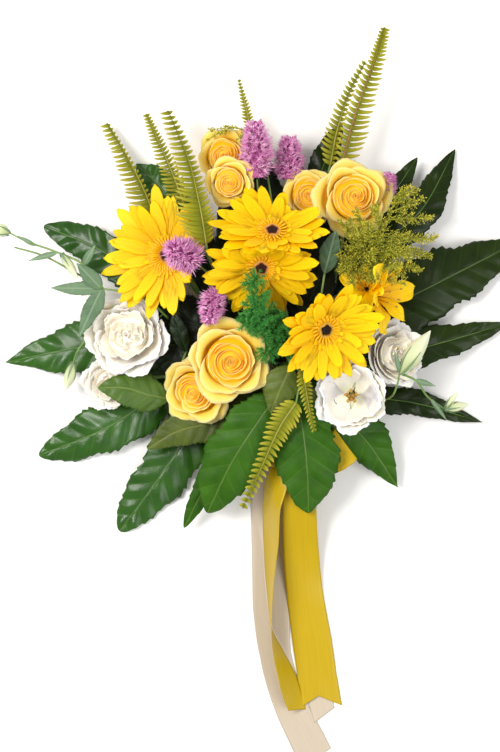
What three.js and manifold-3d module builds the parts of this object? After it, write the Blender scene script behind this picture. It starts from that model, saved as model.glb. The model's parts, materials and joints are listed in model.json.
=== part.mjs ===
// Mixed flower bouquet, lying on its back with the ribbons trailing, seen from straight above.
// Millimetres. +X right, +Y towards the fern tips, +Z up, resting surface z = 0.
// The places were read off a picture 500 wide and 752 high in which one pixel is one millimetre,
// so every spot is written as picture column, picture row and height, and at() moves it over.
import * as THREE from 'three';
import Module from 'manifold-3d';

const wasm = await Module();
wasm.setup();
const { Manifold, Mesh } = wasm;

// Driving dimensions
const CENTRE_COLUMN = 255;
const CENTRE_ROW = 400;
const TIE_COLUMN = 302;
const TIE_ROW = 445;
const TIE_HEIGHT = 19.5;
const WRAP_HALF_LENGTH = 14;
const CUT_ROW = 506;
const GAP = 0.35;
const PETAL_THICKNESS = 1.0;
const LEAF_THICKNESS = 0.9;
const RIBBON_THICKNESS = 0.8;
const DEG = Math.PI / 180;

// Vector helpers on plain [x, y, z] lists
const add = (a, b) => [a[0] + b[0], a[1] + b[1], a[2] + b[2]];
const sub = (a, b) => [a[0] - b[0], a[1] - b[1], a[2] - b[2]];
const mul = (a, s) => [a[0] * s, a[1] * s, a[2] * s];
const dot = (a, b) => a[0] * b[0] + a[1] * b[1] + a[2] * b[2];
const cross = (a, b) => [
  a[1] * b[2] - a[2] * b[1],
  a[2] * b[0] - a[0] * b[2],
  a[0] * b[1] - a[1] * b[0],
];
const size = (a) => Math.hypot(a[0], a[1], a[2]);
const unit = (a) => mul(a, 1 / (size(a) || 1));
const mix = (a, b, t) => add(mul(a, 1 - t), mul(b, t));
const at = (column, row, z) => [column - CENTRE_COLUMN, CENTRE_ROW - row, z];
const lerp = (a, b, t) => a + (b - a) * t;

// A value that looks random but is always the same for the same seed
function chance(seed) {
  const s = Math.sin(seed * 127.1 + 311.7) * 43758.5453;
  return s - Math.floor(s);
}

// Right, up and facing directions of a flower head
function headFrame(centre, facing) {
  const n = unit(facing);
  const u = unit(cross([0, 1, 0], n));
  const v = cross(n, u);
  const place = (x, y, z) => add(centre, add(add(mul(u, x), mul(v, y)), mul(n, z)));
  return { centre, n, u, v, place };
}

// Point on a smooth line through a list of points
function along(points, t) {
  const last = points.length - 1;
  const f = Math.min(Math.max(t, 0), 1) * last;
  const i = Math.min(Math.floor(f), last - 1);
  const k = f - i;
  const p1 = points[i];
  const p2 = points[i + 1];
  const p0 = i > 0 ? points[i - 1] : sub(mul(p1, 2), p2);
  const p3 = i + 2 <= last ? points[i + 2] : sub(mul(p2, 2), p1);
  return [0, 1, 2].map((c) => {
    const a = 2 * p1[c];
    const b = p2[c] - p0[c];
    const d = 2 * p0[c] - 5 * p1[c] + 4 * p2[c] - p3[c];
    const e = -p0[c] + 3 * p1[c] - 3 * p2[c] + p3[c];
    return 0.5 * (a + b * k + d * k * k + e * k * k * k);
  });
}

const joint = (line, t) => line[Math.round(t * (line.length - 1))];
const heading = (points, t) => unit(sub(along(points, t + 0.01), along(points, t - 0.01)));

// Turns points and triangles into one closed solid facing outward
function solid(points, triangles) {
  let volume = 0;
  for (const [a, b, c] of triangles) {
    volume += dot(points[a], cross(points[b], points[c]));
  }
  const flat = volume < 0 ? triangles.map(([a, b, c]) => [a, c, b]) : triangles;
  const mesh = new Mesh({
    numProp: 3,
    vertProperties: new Float32Array(points.flat()),
    triVerts: new Uint32Array(flat.flat()),
  });
  return new Manifold(mesh);
}

// A skin over rings that all have the same number of points, closed at both ends
function loft(rings) {
  const m = rings[0].length;
  const points = rings.flat();
  const triangles = [];
  for (let i = 0; i + 1 < rings.length; i += 1) {
    for (let j = 0; j < m; j += 1) {
      const a = i * m + j;
      const b = i * m + ((j + 1) % m);
      triangles.push([a, b, b + m], [a, b + m, a + m]);
    }
  }
  const end = (rings.length - 1) * m;
  for (let j = 1; j + 1 < m; j += 1) {
    triangles.push([0, j + 1, j], [end, end + j, end + j + 1]);
  }
  return solid(points, triangles);
}

// A round stalk along a line, with a radius for each station
function stalk(points, radii, sides, stations) {
  const rings = [];
  let across = null;
  for (let i = 0; i < stations; i += 1) {
    const t = i / (stations - 1);
    const centre = along(points, t);
    const d = heading(points, t);
    const start = across || (Math.abs(d[2]) < 0.9 ? [0, 0, 1] : [1, 0, 0]);
    across = unit(sub(start, mul(d, dot(start, d))));
    const other = cross(d, across);
    const r = typeof radii === 'function' ? radii(t) : radii;
    const ring = [];
    for (let j = 0; j < sides; j += 1) {
      const angle = (2 * Math.PI * j) / sides;
      const side = add(mul(across, Math.cos(angle)), mul(other, Math.sin(angle)));
      ring.push(add(centre, mul(side, r)));
    }
    rings.push(ring);
  }
  return loft(rings);
}

// A thin sheet over a grid of points, the same triangles on both faces
function sheet(grid, thickness) {
  const rows = grid.length;
  const cols = grid[0].length;
  const normalAt = (i, j) => {
    const a = grid[Math.max(i - 1, 0)][j];
    const b = grid[Math.min(i + 1, rows - 1)][j];
    const c = grid[i][Math.max(j - 1, 0)];
    const d = grid[i][Math.min(j + 1, cols - 1)];
    return unit(cross(sub(b, a), sub(d, c)));
  };
  const points = [];
  for (let i = 0; i < rows; i += 1) {
    for (let j = 0; j < cols; j += 1) {
      points.push(add(grid[i][j], mul(normalAt(i, j), thickness / 2)));
    }
  }
  for (let i = 0; i < rows; i += 1) {
    for (let j = 0; j < cols; j += 1) {
      points.push(sub(grid[i][j], mul(normalAt(i, j), thickness / 2)));
    }
  }
  const half = rows * cols;
  const id = (i, j) => i * cols + j;
  const triangles = [];
  for (let i = 0; i + 1 < rows; i += 1) {
    for (let j = 0; j + 1 < cols; j += 1) {
      const a = id(i, j);
      const b = id(i, j + 1);
      const c = id(i + 1, j + 1);
      const d = id(i + 1, j);
      triangles.push([a, c, b], [a, d, c]);
      triangles.push([a + half, b + half, c + half], [a + half, c + half, d + half]);
    }
  }
  const wall = (a, b) => triangles.push([a, b, b + half], [a, b + half, a + half]);
  for (let j = 0; j + 1 < cols; j += 1) {
    wall(id(0, j), id(0, j + 1));
    wall(id(rows - 1, j + 1), id(rows - 1, j));
  }
  for (let i = 0; i + 1 < rows; i += 1) {
    wall(id(i + 1, 0), id(i, 0));
    wall(id(i, cols - 1), id(i + 1, cols - 1));
  }
  return solid(points, triangles);
}

const join = (list) => Manifold.union(list);

// Blade along a spine: width(t) on each side, edges lowered by fold, sheet normal near facing
function blade(spine, width, options) {
  const { stations, columns, fold, facing, thickness } = options;
  const grid = [];
  for (let i = 0; i < stations; i += 1) {
    const t = i / (stations - 1);
    const centre = along(spine, t);
    const d = heading(spine, t);
    const side = unit(cross(d, facing));
    const up = cross(side, d);
    const row = [];
    for (let j = 0; j < columns; j += 1) {
      const s = (2 * j) / (columns - 1) - 1;
      const w = width(t, s < 0 ? -1 : 1) * s;
      row.push(add(centre, add(mul(side, w), mul(up, -Math.abs(w) * fold))));
    }
    grid.push(row);
  }
  return sheet(grid, thickness);
}

// Distance out and rise of a petal that leaves at angle a0 and ends at a1, after length s of L
function rise(start, a0, a1, s, L) {
  let out = start;
  let up = 0;
  const steps = 8;
  for (let i = 0; i < steps; i += 1) {
    const angle = lerp(a0, a1, ((i + 0.5) / steps) * (s / L)) * DEG;
    out += (Math.cos(angle) * s) / steps;
    up += (Math.sin(angle) * s) / steps;
  }
  return [out, up];
}

// Gerberas
const GERBERAS = {
  left: {
    centre: at(168, 256, 75), facing: [-0.22, 0.02, 0.97], radius: 70,
    lift: 9, swing: -3, far: -15, shrink: 0.55, turn: 8,
  },
  upper: {
    centre: at(272, 231, 101), facing: [0.0, 0.62, 0.78], radius: 63,
    lift: 17, swing: 5, far: -90, shrink: 0.44, turn: 4,
  },
  middle: {
    centre: at(261, 267, 90), facing: [0.02, -0.4, 0.92], radius: 63,
    lift: 15, swing: 19, far: 90, shrink: 0.5, turn: 11,
  },
  lower: {
    centre: at(326, 331, 98), facing: [0.36, -0.3, 0.88], radius: 57,
    lift: 20, swing: 2, far: 140, shrink: 0.1, turn: 0,
  },
};
const OUTER_PETALS = 13;
const INNER_PETALS = 9;
const HUB_RADIUS = 10;

// Angle and length of the petal that leaves in direction phi
function petalPose(head, phi, seed) {
  const near = Math.cos((phi - head.far) * DEG);
  const angle = head.lift + head.swing * near + (chance(seed) - 0.5) * 5;
  const shorter = 1 - head.shrink * Math.max(0, near) ** 2;
  return { angle, reach: head.radius * shorter * (0.95 + 0.07 * chance(seed + 9)) };
}

// Petals of one whorl: the loop of points round its base and the triangles beyond it
function whorl(head, frame, points, triangles, options) {
  const { count, z, scale, width, raise, phase, curl } = options;
  const upper = [];
  const lower = [];
  const quad = (a, b, c, d) => {
    if (a !== b && b !== c) {
      triangles.push([a, b, c]);
    }
    if (c !== d && a !== d) {
      triangles.push([a, c, d]);
    }
  };
  const push = (p) => {
    points.push(p);
    return points.length - 1;
  };
  for (let k = 0; k < count; k += 1) {
    const phi = head.turn + phase + (360 * k) / count;
    const pose = petalPose(head, phi, k + phase * 3.1 + head.turn);
    const reach = pose.reach * scale;
    const length = reach - HUB_RADIUS;
    const c = Math.cos(phi * DEG);
    const s = Math.sin(phi * DEG);
    const fit = Math.min(1, pose.reach / head.radius);
    const spots = [
      [0, ((Math.PI * HUB_RADIUS) / count) * 0.94],
      [0.5, (width / 2) * fit],
      [0.84, width * 0.42 * fit],
      [1, 0],
    ];
    const petal = spots.map(([f, w]) => {
      const angle = pose.angle + raise;
      const [out, up] = rise(HUB_RADIUS, angle, angle + curl, f * length, length);
      const spot = (side, drop) => {
        const x = c * out - s * w * side;
        const y = s * out + c * w * side;
        return push(frame.place(x, y, z + up + PETAL_THICKNESS - drop));
      };
      if (w === 0) {
        const tip = spot(0, 0);
        const back = spot(0, PETAL_THICKNESS);
        return [tip, tip, back, back];
      }
      return [spot(-1, 0), spot(1, 0), spot(-1, PETAL_THICKNESS), spot(1, PETAL_THICKNESS)];
    });
    for (let i = 0; i + 1 < petal.length; i += 1) {
      const [a, b, e, f] = petal[i];
      const [a2, b2, e2, f2] = petal[i + 1];
      quad(a, a2, b2, b);
      quad(e, f, f2, e2);
      quad(a, e, e2, a2);
      quad(b, b2, f2, f);
    }
    upper.push(petal[0][0], petal[0][1]);
    lower.push(petal[0][2], petal[0][3]);
  }
  for (let k = 0; k < count; k += 1) {
    const r = 2 * k + 1;
    const l = (2 * k + 2) % (2 * count);
    quad(upper[r], lower[r], lower[l], upper[l]);
  }
  return { upper, lower, start: head.turn + phase };
}

// Flat ring of triangles between an outer loop and a smaller inner loop of other length
function washer(outer, inner, triangles, facingUp) {
  let i = 0;
  let j = 0;
  while (i < outer.length || j < inner.length) {
    const a = outer[i % outer.length];
    const b = inner[j % inner.length];
    const takeOuter = j >= inner.length || (i < outer.length
      && (i + 1) / outer.length <= (j + 1) / inner.length);
    const c = takeOuter ? outer[(i + 1) % outer.length] : inner[(j + 1) % inner.length];
    triangles.push(facingUp ? [a, c, b] : [a, b, c]);
    if (takeOuter) {
      i += 1;
    } else {
      j += 1;
    }
  }
}

const INNER_LEVEL = 1.7;
const FLORET_LEVEL = 3.3;
const FLORETS = 12;
const HUB_SIDES = 6;

// Two whorls of strap petals and the short upright florets round the eye, as one skin
function gerberaPetals(head) {
  const frame = headFrame(head.centre, head.facing);
  const points = [];
  const triangles = [];
  const hubLoop = (r, z, phase) => {
    const loop = [];
    for (let j = 0; j < HUB_SIDES; j += 1) {
      const a = ((phase + (360 * j) / HUB_SIDES) * Math.PI) / 180;
      points.push(frame.place(Math.cos(a) * r, Math.sin(a) * r, z));
      loop.push(points.length - 1);
    }
    return loop;
  };
  const outer = whorl(head, frame, points, triangles, {
    count: OUTER_PETALS, z: 0, scale: 1, width: 14.5, raise: -3, phase: 0, curl: -6,
  });
  const inner = whorl(head, frame, points, triangles, {
    count: INNER_PETALS, z: INNER_LEVEL, scale: 0.9, width: 12.5, raise: 7, phase: 13, curl: 4,
  });
  points.push(frame.place(0, 0, 0));
  const foot = points.length - 1;
  outer.lower.forEach((a, k) => {
    triangles.push([foot, outer.lower[(k + 1) % outer.lower.length], a]);
  });
  const h0 = hubLoop(5, PETAL_THICKNESS, outer.start);
  const h1 = hubLoop(5, INNER_LEVEL, inner.start);
  const h2 = hubLoop(5, INNER_LEVEL + PETAL_THICKNESS, inner.start);
  const h3 = hubLoop(5, FLORET_LEVEL, head.turn);
  washer(outer.upper, h0, triangles, true);
  washer(inner.lower, h1, triangles, false);
  washer(inner.upper, h2, triangles, true);
  const band = (a, b) => a.forEach((p, k) => {
    const q = a[(k + 1) % a.length];
    const r = b[(k + 1) % b.length];
    triangles.push([p, q, r], [p, r, b[k]]);
  });
  band(h0, h1);
  band(h2, h3);
  const top = [];
  const low = [];
  for (let k = 0; k < FLORETS; k += 1) {
    const valley = head.turn * DEG + (2 * Math.PI * k) / FLORETS;
    points.push(frame.place(Math.cos(valley) * 10, Math.sin(valley) * 10, FLORET_LEVEL + 1.1));
    top.push(points.length - 1);
    points.push(frame.place(Math.cos(valley) * 10, Math.sin(valley) * 10, FLORET_LEVEL));
    low.push(points.length - 1);
  }
  washer(low, h3, triangles, false);
  points.push(frame.place(0, 0, FLORET_LEVEL + 1.1));
  const crown = points.length - 1;
  for (let k = 0; k < FLORETS; k += 1) {
    const next = (k + 1) % FLORETS;
    const phi = head.turn * DEG + (2 * Math.PI * (k + 0.5)) / FLORETS;
    const x = Math.cos(phi) * 17;
    const y = Math.sin(phi) * 17;
    points.push(frame.place(x, y, FLORET_LEVEL + 6.3), frame.place(x, y, FLORET_LEVEL + 5.5));
    const t = points.length - 2;
    const u = t + 1;
    triangles.push([crown, top[k], top[next]], [top[k], t, top[next]], [low[k], low[next], u]);
    triangles.push([top[k], low[k], u], [top[k], u, t], [t, u, low[next]], [t, low[next], top[next]]);
  }
  return solid(points, triangles);
}

// Rings of a turned shape about the facing axis of a head
function turned(frame, profile, sides) {
  return loft(profile.map(([r, z]) => {
    const ring = [];
    for (let j = 0; j < sides; j += 1) {
      const a = (2 * Math.PI * j) / sides;
      ring.push(frame.place(Math.cos(a) * r, Math.sin(a) * r, z));
    }
    return ring;
  }));
}

// The dark eye: a low dome with a scalloped rim, seated on the florets
function gerberaEye(head) {
  const frame = headFrame(head.centre, head.facing);
  const base = FLORET_LEVEL + 1.1 + GAP;
  const rings = [];
  for (const [r, z] of [[7.4, 0], [8.2, 1.4], [4, 3]]) {
    const ring = [];
    for (let j = 0; j < 12; j += 1) {
      const a = (Math.PI * j) / 6;
      const out = r * (j % 2 === 0 ? 1 : 0.86);
      ring.push(frame.place(Math.cos(a) * out, Math.sin(a) * out, base + z));
    }
    rings.push(ring);
  }
  return loft(rings);
}

// Cup-shaped blooms: roses and lisianthus
// Every bloom is one skin that climbs each whorl of petals, turns over its rim and drops into
// the valley before the next whorl. Rims are notched between petals and step like a pinwheel.
function layeredBloom(frame, R, bloom) {
  const { petals, perPetal, levels, seed } = bloom;
  const columns = petals * perPetal;
  const rings = levels.map(([r, z, notch, wave, phase]) => {
    const ring = [];
    for (let j = 0; j < columns; j += 1) {
      const a = (2 * Math.PI * j) / columns;
      const spot = (((j + phase) % perPetal) + perPetal) % perPetal;
      const which = Math.floor((j + phase + columns) / perPetal);
      const edge = spot === 0 ? 1 : 0;
      const step = notch > 0 ? 0.05 * (spot / perPetal - 0.5) : 0;
      const ripple = wave * (j % 2 === 0 ? 1 : -1) + notch * 0.4 * (chance(seed + which) - 0.5);
      const out = (r * (1 - 0.09 * edge * (notch > 0 ? 1 : 0)) + step) * R;
      const up = (z - notch * edge + (notch > 0 ? ripple : 0)) * R;
      ring.push(frame.place(Math.cos(a) * out, Math.sin(a) * out, up));
    }
    return ring;
  });
  return loft(rings);
}

const ROSES = {
  far_left: { centre: at(224, 154, 46), facing: [-0.15, 0.12, 0.98], radius: 25 },
  mid_left: { centre: at(229, 184, 75), facing: [-0.1, -0.2, 0.97], radius: 21 },
  far_right: { centre: at(309, 194, 56), facing: [-0.12, 0.1, 0.98], radius: 25 },
  big_right: { centre: at(355, 197, 78), facing: [0.12, 0.1, 0.98], radius: 33 },
  big_front: { centre: at(231, 362, 90), facing: [0.1, -0.1, 0.99], radius: 35 },
  low_front: { centre: at(193, 394, 60), facing: [-0.3, -0.3, 0.9], radius: 30 },
};

// Out, up, notch depth, ripple and petal shift of each ring, from under the bowl to the heart
const ROSE_LEVELS = [
  [0.16, -0.84, 0, 0, 0],
  [0.46, -0.66, 0, 0, 0],
  [0.82, -0.4, 0, 0, 0],
  [1.0, -0.2, 0.13, 0, 0],
  [0.94, -0.14, 0.13, 0, 0],
  [0.63, -0.4, 0, 0, 0],
  [0.73, -0.05, 0.1, 0, 2],
  [0.67, -0.01, 0.1, 0, 2],
  [0.42, -0.28, 0, 0, 2],
  [0.47, 0.02, 0.07, 0, 1],
  [0.41, 0.05, 0.07, 0, 1],
  [0.22, -0.14, 0, 0, 1],
  [0.2, 0.05, 0.04, 0, 2],
  [0.07, 0.02, 0, 0, 0],
];

function roseBloom(rose, seed) {
  const frame = headFrame(rose.centre, rose.facing);
  return layeredBloom(frame, rose.radius, {
    petals: 4, perPetal: 3, levels: ROSE_LEVELS, seed: seed * 11,
  });
}

const LISIANTHUS = {
  left: { centre: at(126, 335, 62), facing: [-0.1, 0.05, 0.99], radius: 37 },
  low_left: { centre: at(107, 384, 39), facing: [-0.15, -0.1, 0.98], radius: 25 },
  right: { centre: at(350, 397, 80), facing: [-0.1, -0.1, 0.98], radius: 33 },
  far_right: { centre: at(400, 353, 62), facing: [0.5, 0.1, 0.86], radius: 30 },
};

const LISIANTHUS_LEVELS = [
  [0.12, -0.86, 0, 0, 0],
  [0.36, -0.7, 0, 0, 0],
  [0.72, -0.42, 0, 0, 0],
  [1.0, -0.1, 0.16, 0.05, 0],
  [0.96, -0.04, 0.16, 0.05, 0],
  [0.5, -0.42, 0, 0, 0],
  [0.66, 0.02, 0.12, 0.05, 2],
  [0.61, 0.07, 0.12, 0.05, 2],
  [0.24, -0.36, 0, 0, 2],
  [0.36, 0.02, 0.1, 0.04, 0],
  [0.31, 0.06, 0.1, 0.04, 0],
  [0.1, -0.22, 0, 0, 0],
];

function lisianthusBloom(bloom, seed) {
  const frame = headFrame(bloom.centre, bloom.facing);
  return layeredBloom(frame, bloom.radius, {
    petals: 5, perPetal: 3, levels: LISIANTHUS_LEVELS, seed: seed * 7,
  });
}

// Yellow lily-like bloom (alstroemeria)
const ALSTROEMERIA = { centre: at(374, 295, 62), facing: [0.78, -0.05, 0.62] };

function alstroemeriaBloom() {
  const frame = headFrame(ALSTROEMERIA.centre, ALSTROEMERIA.facing);
  const list = [turned(frame, [[1.8, -14], [5, -6], [6.5, 0], [3, 3]], 8)];
  for (let k = 0; k < 6; k += 1) {
    const wide = k % 2 === 0;
    const phi = (60 * k + 12) * DEG;
    const reach = wide ? 46 : 40;
    const lift = wide ? 52 : 60;
    const half = wide ? 9.5 : 7;
    const spots = [[0, 2.6], [0.5, half], [1, half * 0.3]];
    const grid = spots.map(([f, w]) => {
      const [out, up] = rise(3.5, lift, lift - 46, f * reach, reach);
      return [-1, 0, 1].map((side) => {
        const cup = Math.abs(side) * w * 0.25;
        const x = Math.cos(phi) * out - Math.sin(phi) * w * side;
        const y = Math.sin(phi) * out + Math.cos(phi) * w * side;
        return frame.place(x, y, up + cup - 1 + (wide ? 0 : 0.6));
      });
    });
    list.push(sheet(grid, PETAL_THICKNESS));
  }
  for (let k = 0; k < 3; k += 1) {
    const phi = (120 * k + 40) * DEG;
    const line = [0, 0.5, 1].map((f) => {
      const out = 1.5 + 7 * f * f;
      return frame.place(Math.cos(phi) * out, Math.sin(phi) * out, 1 + 22 * f);
    });
    list.push(stalk(line, (t) => 0.6 + 0.6 * t, 3, 3));
  }
  return join(list);
}

// Liatris: fluffy pink spikes
const LIATRIS = {
  far_middle: { base: at(257, 177, 62), axis: [-0.03, 1, 0.16], length: 60, radius: 18 },
  far_right: { base: at(289, 177, 36), axis: [0.02, 1, 0.12], length: 45, radius: 16 },
  middle_left: { base: at(190, 261, 104), axis: [-0.42, 0.3, 0.85], length: 34, radius: 21 },
  low_left: { base: at(218, 296, 70), axis: [-0.35, -0.62, 0.7], length: 34, radius: 17 },
  right: { base: at(382, 196, 46), axis: [0.3, 0.85, 0.35], length: 28, radius: 13 },
};
const LIATRIS_NEEDLES = 17;

function liatrisSpike(spike, seed) {
  const d = unit(spike.axis);
  const a = unit(cross(d, [0.3, 0.1, 1]));
  const b = cross(d, a);
  const tip = add(spike.base, mul(d, spike.length));
  const core = stalk(
    [spike.base, mix(spike.base, tip, 0.5), tip],
    (t) => spike.radius * 0.5 * Math.sin(Math.PI * (0.12 + 0.78 * t)),
    5,
    4,
  );
  const list = [core];
  for (let k = 0; k < LIATRIS_NEEDLES; k += 1) {
    const f = (k + 0.5) / LIATRIS_NEEDLES;
    const phi = k * 137.5 * DEG + seed;
    const root = mix(spike.base, tip, 0.08 + 0.86 * f);
    const out = add(mul(a, Math.cos(phi)), mul(b, Math.sin(phi)));
    const swell = Math.sin(Math.PI * (0.16 + 0.74 * f));
    const reach = spike.radius * (0.72 + 0.36 * chance(k + seed)) * swell + 1.5;
    const aim = unit(add(out, mul(d, 0.35 + 0.9 * f)));
    const end = add(root, mul(aim, reach));
    const x = unit(cross(aim, out));
    const y = cross(aim, x);
    const ring = (centre, r) => [0, 1, 2].map((j) => {
      const t = (2 * Math.PI * j) / 3 + k;
      return add(centre, add(mul(x, Math.cos(t) * r), mul(y, Math.sin(t) * r)));
    });
    const start = add(root, mul(aim, spike.radius * 0.12));
    list.push(solid([...ring(start, 3.2), end], [[0, 1, 2], [0, 3, 1], [1, 3, 2], [2, 3, 0]]));
  }
  return join(list);
}

// Goldenrod and asparagus fern
// A tapering three-sided shoot
const shoot = (points, r0, r1, stations) => stalk(points, (t) => lerp(r0, r1, t), 3, stations);

// A small four-cornered bead of blossom
function bead(centre, r) {
  const points = [[r, r, r], [-r, -r, r], [-r, r, -r], [r, -r, -r]];
  return solid(points.map((p) => add(centre, p)), [[0, 2, 1], [0, 1, 3], [0, 3, 2], [1, 2, 3]]);
}

const GOLDENROD = {
  plume: {
    spine: [at(352, 282, 58), at(366, 258, 74), at(382, 234, 84), at(394, 200, 84)],
    branches: [
      [0.12, at(345, 244, 84)], [0.28, at(420, 270, 74)], [0.3, at(340, 222, 88)],
      [0.46, at(431, 256, 66)], [0.5, at(354, 212, 94)], [0.56, at(436, 238, 68)],
      [0.8, at(430, 218, 72)], [0.94, at(416, 190, 74)],
    ],
    beads: 2, bead: 3.6,
  },
  sprig: {
    spine: [at(262, 150, 48), at(254, 138, 52), at(240, 128, 50), at(224, 125, 44)],
    branches: [[0.5, at(236, 140, 50)], [0.75, at(208, 128, 38)]],
    beads: 2, bead: 2.4,
  },
};

function goldenrod(spray) {
  const list = [shoot(spray.spine, 1.3, 0.8, 4)];
  spray.branches.forEach(([t, end]) => {
    const root = along(spray.spine, t);
    const middle = add(mix(root, end, 0.55), [0, 0, 5]);
    const line = [root, middle, end];
    list.push(shoot(line, 1.1, 0.6, 3));
    for (let i = 0; i < spray.beads; i += 1) {
      const f = 0.45 + (0.5 * i) / (spray.beads - 1);
      list.push(bead(along(line, f), spray.bead * (1.15 - 0.35 * f)));
    }
  });
  return join(list);
}

const ASPARAGUS = {
  spine: [at(268, 352, 70), at(264, 336, 88), at(258, 308, 104), at(253, 280, 108)],
  needles: 16,
};

function asparagusFern() {
  const list = [shoot(ASPARAGUS.spine, 1.5, 1.0, 6)];
  for (let k = 0; k < ASPARAGUS.needles; k += 1) {
    const f = 0.04 + (0.96 * k) / ASPARAGUS.needles;
    const root = along(ASPARAGUS.spine, f);
    const d = heading(ASPARAGUS.spine, f);
    const a = unit(cross(d, [0, 0, 1]));
    const b = cross(a, d);
    const phi = k * 137.5 * DEG;
    const out = add(mul(a, Math.cos(phi)), mul(b, Math.sin(phi) * 0.55 + 0.25));
    const aim = unit(add(out, mul(d, 0.7)));
    const reach = 15 - 3 * f + 4 * chance(k);
    const end = add(root, mul(aim, reach));
    const x = unit(cross(aim, d));
    const y = cross(aim, x);
    const ring = [0, 1, 2].map((j) => {
      const t = (2 * Math.PI * j) / 3;
      return add(root, add(mul(x, Math.cos(t) * 1.2), mul(y, Math.sin(t) * 1.2)));
    });
    list.push(solid([...ring, end], [[0, 1, 2], [0, 3, 1], [1, 3, 2], [2, 3, 0]]));
  }
  return join(list);
}

// Sword ferns
// Spine from the base to the tip, leaflets on the left and right of the way to the tip
const FERNS = {
  far_left_outer: {
    spine: [at(160, 240, 44), at(148, 200, 40), at(128, 158, 30), at(106, 120, 16)],
    pairs: 16, left: 17, right: 4, facing: [0.1, 0, 1],
  },
  far_left_middle: {
    spine: [at(184, 204, 58), at(172, 172, 54), at(158, 140, 44), at(146, 112, 32)],
    pairs: 11, left: 12, right: 8, facing: [0, 0, 1],
  },
  far_left_inner: {
    spine: [at(207, 246, 98), at(200, 206, 99), at(188, 158, 80), at(168, 110, 48)],
    pairs: 14, left: 24, right: 13, facing: [0.2, 0, 1],
  },
  far_top: {
    spine: [at(250, 126, 36), at(247, 110, 38), at(243, 94, 38), at(239, 77, 34)],
    pairs: 8, left: 7, right: 5, facing: [0, 0, 1],
  },
  far_right_inner: {
    spine: [at(331, 164, 30), at(338, 128, 32), at(350, 92, 28), at(367, 58, 20)],
    pairs: 12, left: 11, right: 6, facing: [0, 0, 1],
  },
  far_right_outer: {
    spine: [at(342, 164, 45), at(356, 112, 50), at(374, 62, 46), at(385, 25, 32)],
    pairs: 16, left: 7, right: 20, facing: [0, 0, 1],
  },
  front_long: {
    spine: [at(296, 402, 80), at(279, 428, 76), at(262, 466, 66), at(243, 508, 50)],
    pairs: 14, left: 18, right: 18, facing: [0, 0, 1],
  },
  front_short: {
    spine: [at(302, 368, 86), at(305, 388, 84), at(309, 410, 78), at(314, 431, 70)],
    pairs: 9, left: 9, right: 9, facing: [0.85, 0, 0.5],
  },
};

// One arched blade whose outline is cut to the rib between leaflets
function fernBlade(fern) {
  const n = fern.pairs;
  const rib = 0.9;
  const points = [];
  const rows = [];
  const spot = (t, side, reach, forward, rise1) => {
    const centre = along(fern.spine, t);
    const d = heading(fern.spine, t);
    const across = unit(cross(d, fern.facing));
    const up = cross(across, d);
    const p = add(centre, add(mul(across, side * reach), mul(d, forward)));
    const q = add(p, mul(up, rise1));
    points.push(add(q, mul(up, LEAF_THICKNESS / 2)), sub(q, mul(up, LEAF_THICKNESS / 2)));
    return points.length - 2;
  };
  for (let i = 0; i <= n; i += 1) {
    const t = i / n;
    rows.push([spot(t, -1, rib * (1.1 - 0.5 * t), 0, 0), spot(t, 1, rib * (1.1 - 0.5 * t), 0, 0)]);
  }
  const triangles = [];
  const face = (a, b, c) => triangles.push([a, b, c], [a + 1, c + 1, b + 1]);
  const wall = (a, b) => triangles.push([a, a + 1, b + 1], [a, b + 1, b]);
  for (let i = 0; i < n; i += 1) {
    const t = (i + 0.35) / n;
    const taper = Math.sin(Math.PI * Math.min(1, 0.3 + 0.72 * (1 - t))) * 0.35 + 0.65 * (1 - t * 0.75);
    const [l0, r0] = rows[i];
    const [l1, r1] = rows[i + 1];
    const droop = -0.12 * Math.max(fern.left, fern.right) * taper;
    const lt = spot(t, -1, fern.left * taper + rib, 3.2, droop * (fern.left > 8 ? 1 : 0.3));
    const rt = spot(t, 1, fern.right * taper + rib, 3.2, droop * (fern.right > 8 ? 1 : 0.3));
    face(l0, l1, r1);
    face(l0, r1, r0);
    face(l0, lt, l1);
    face(r0, r1, rt);
    wall(l0, lt);
    wall(lt, l1);
    wall(r1, rt);
    wall(rt, r0);
  }
  wall(rows[0][1], rows[0][0]);
  wall(rows[n][0], rows[n][1]);
  return solid(points, triangles);
}

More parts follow.
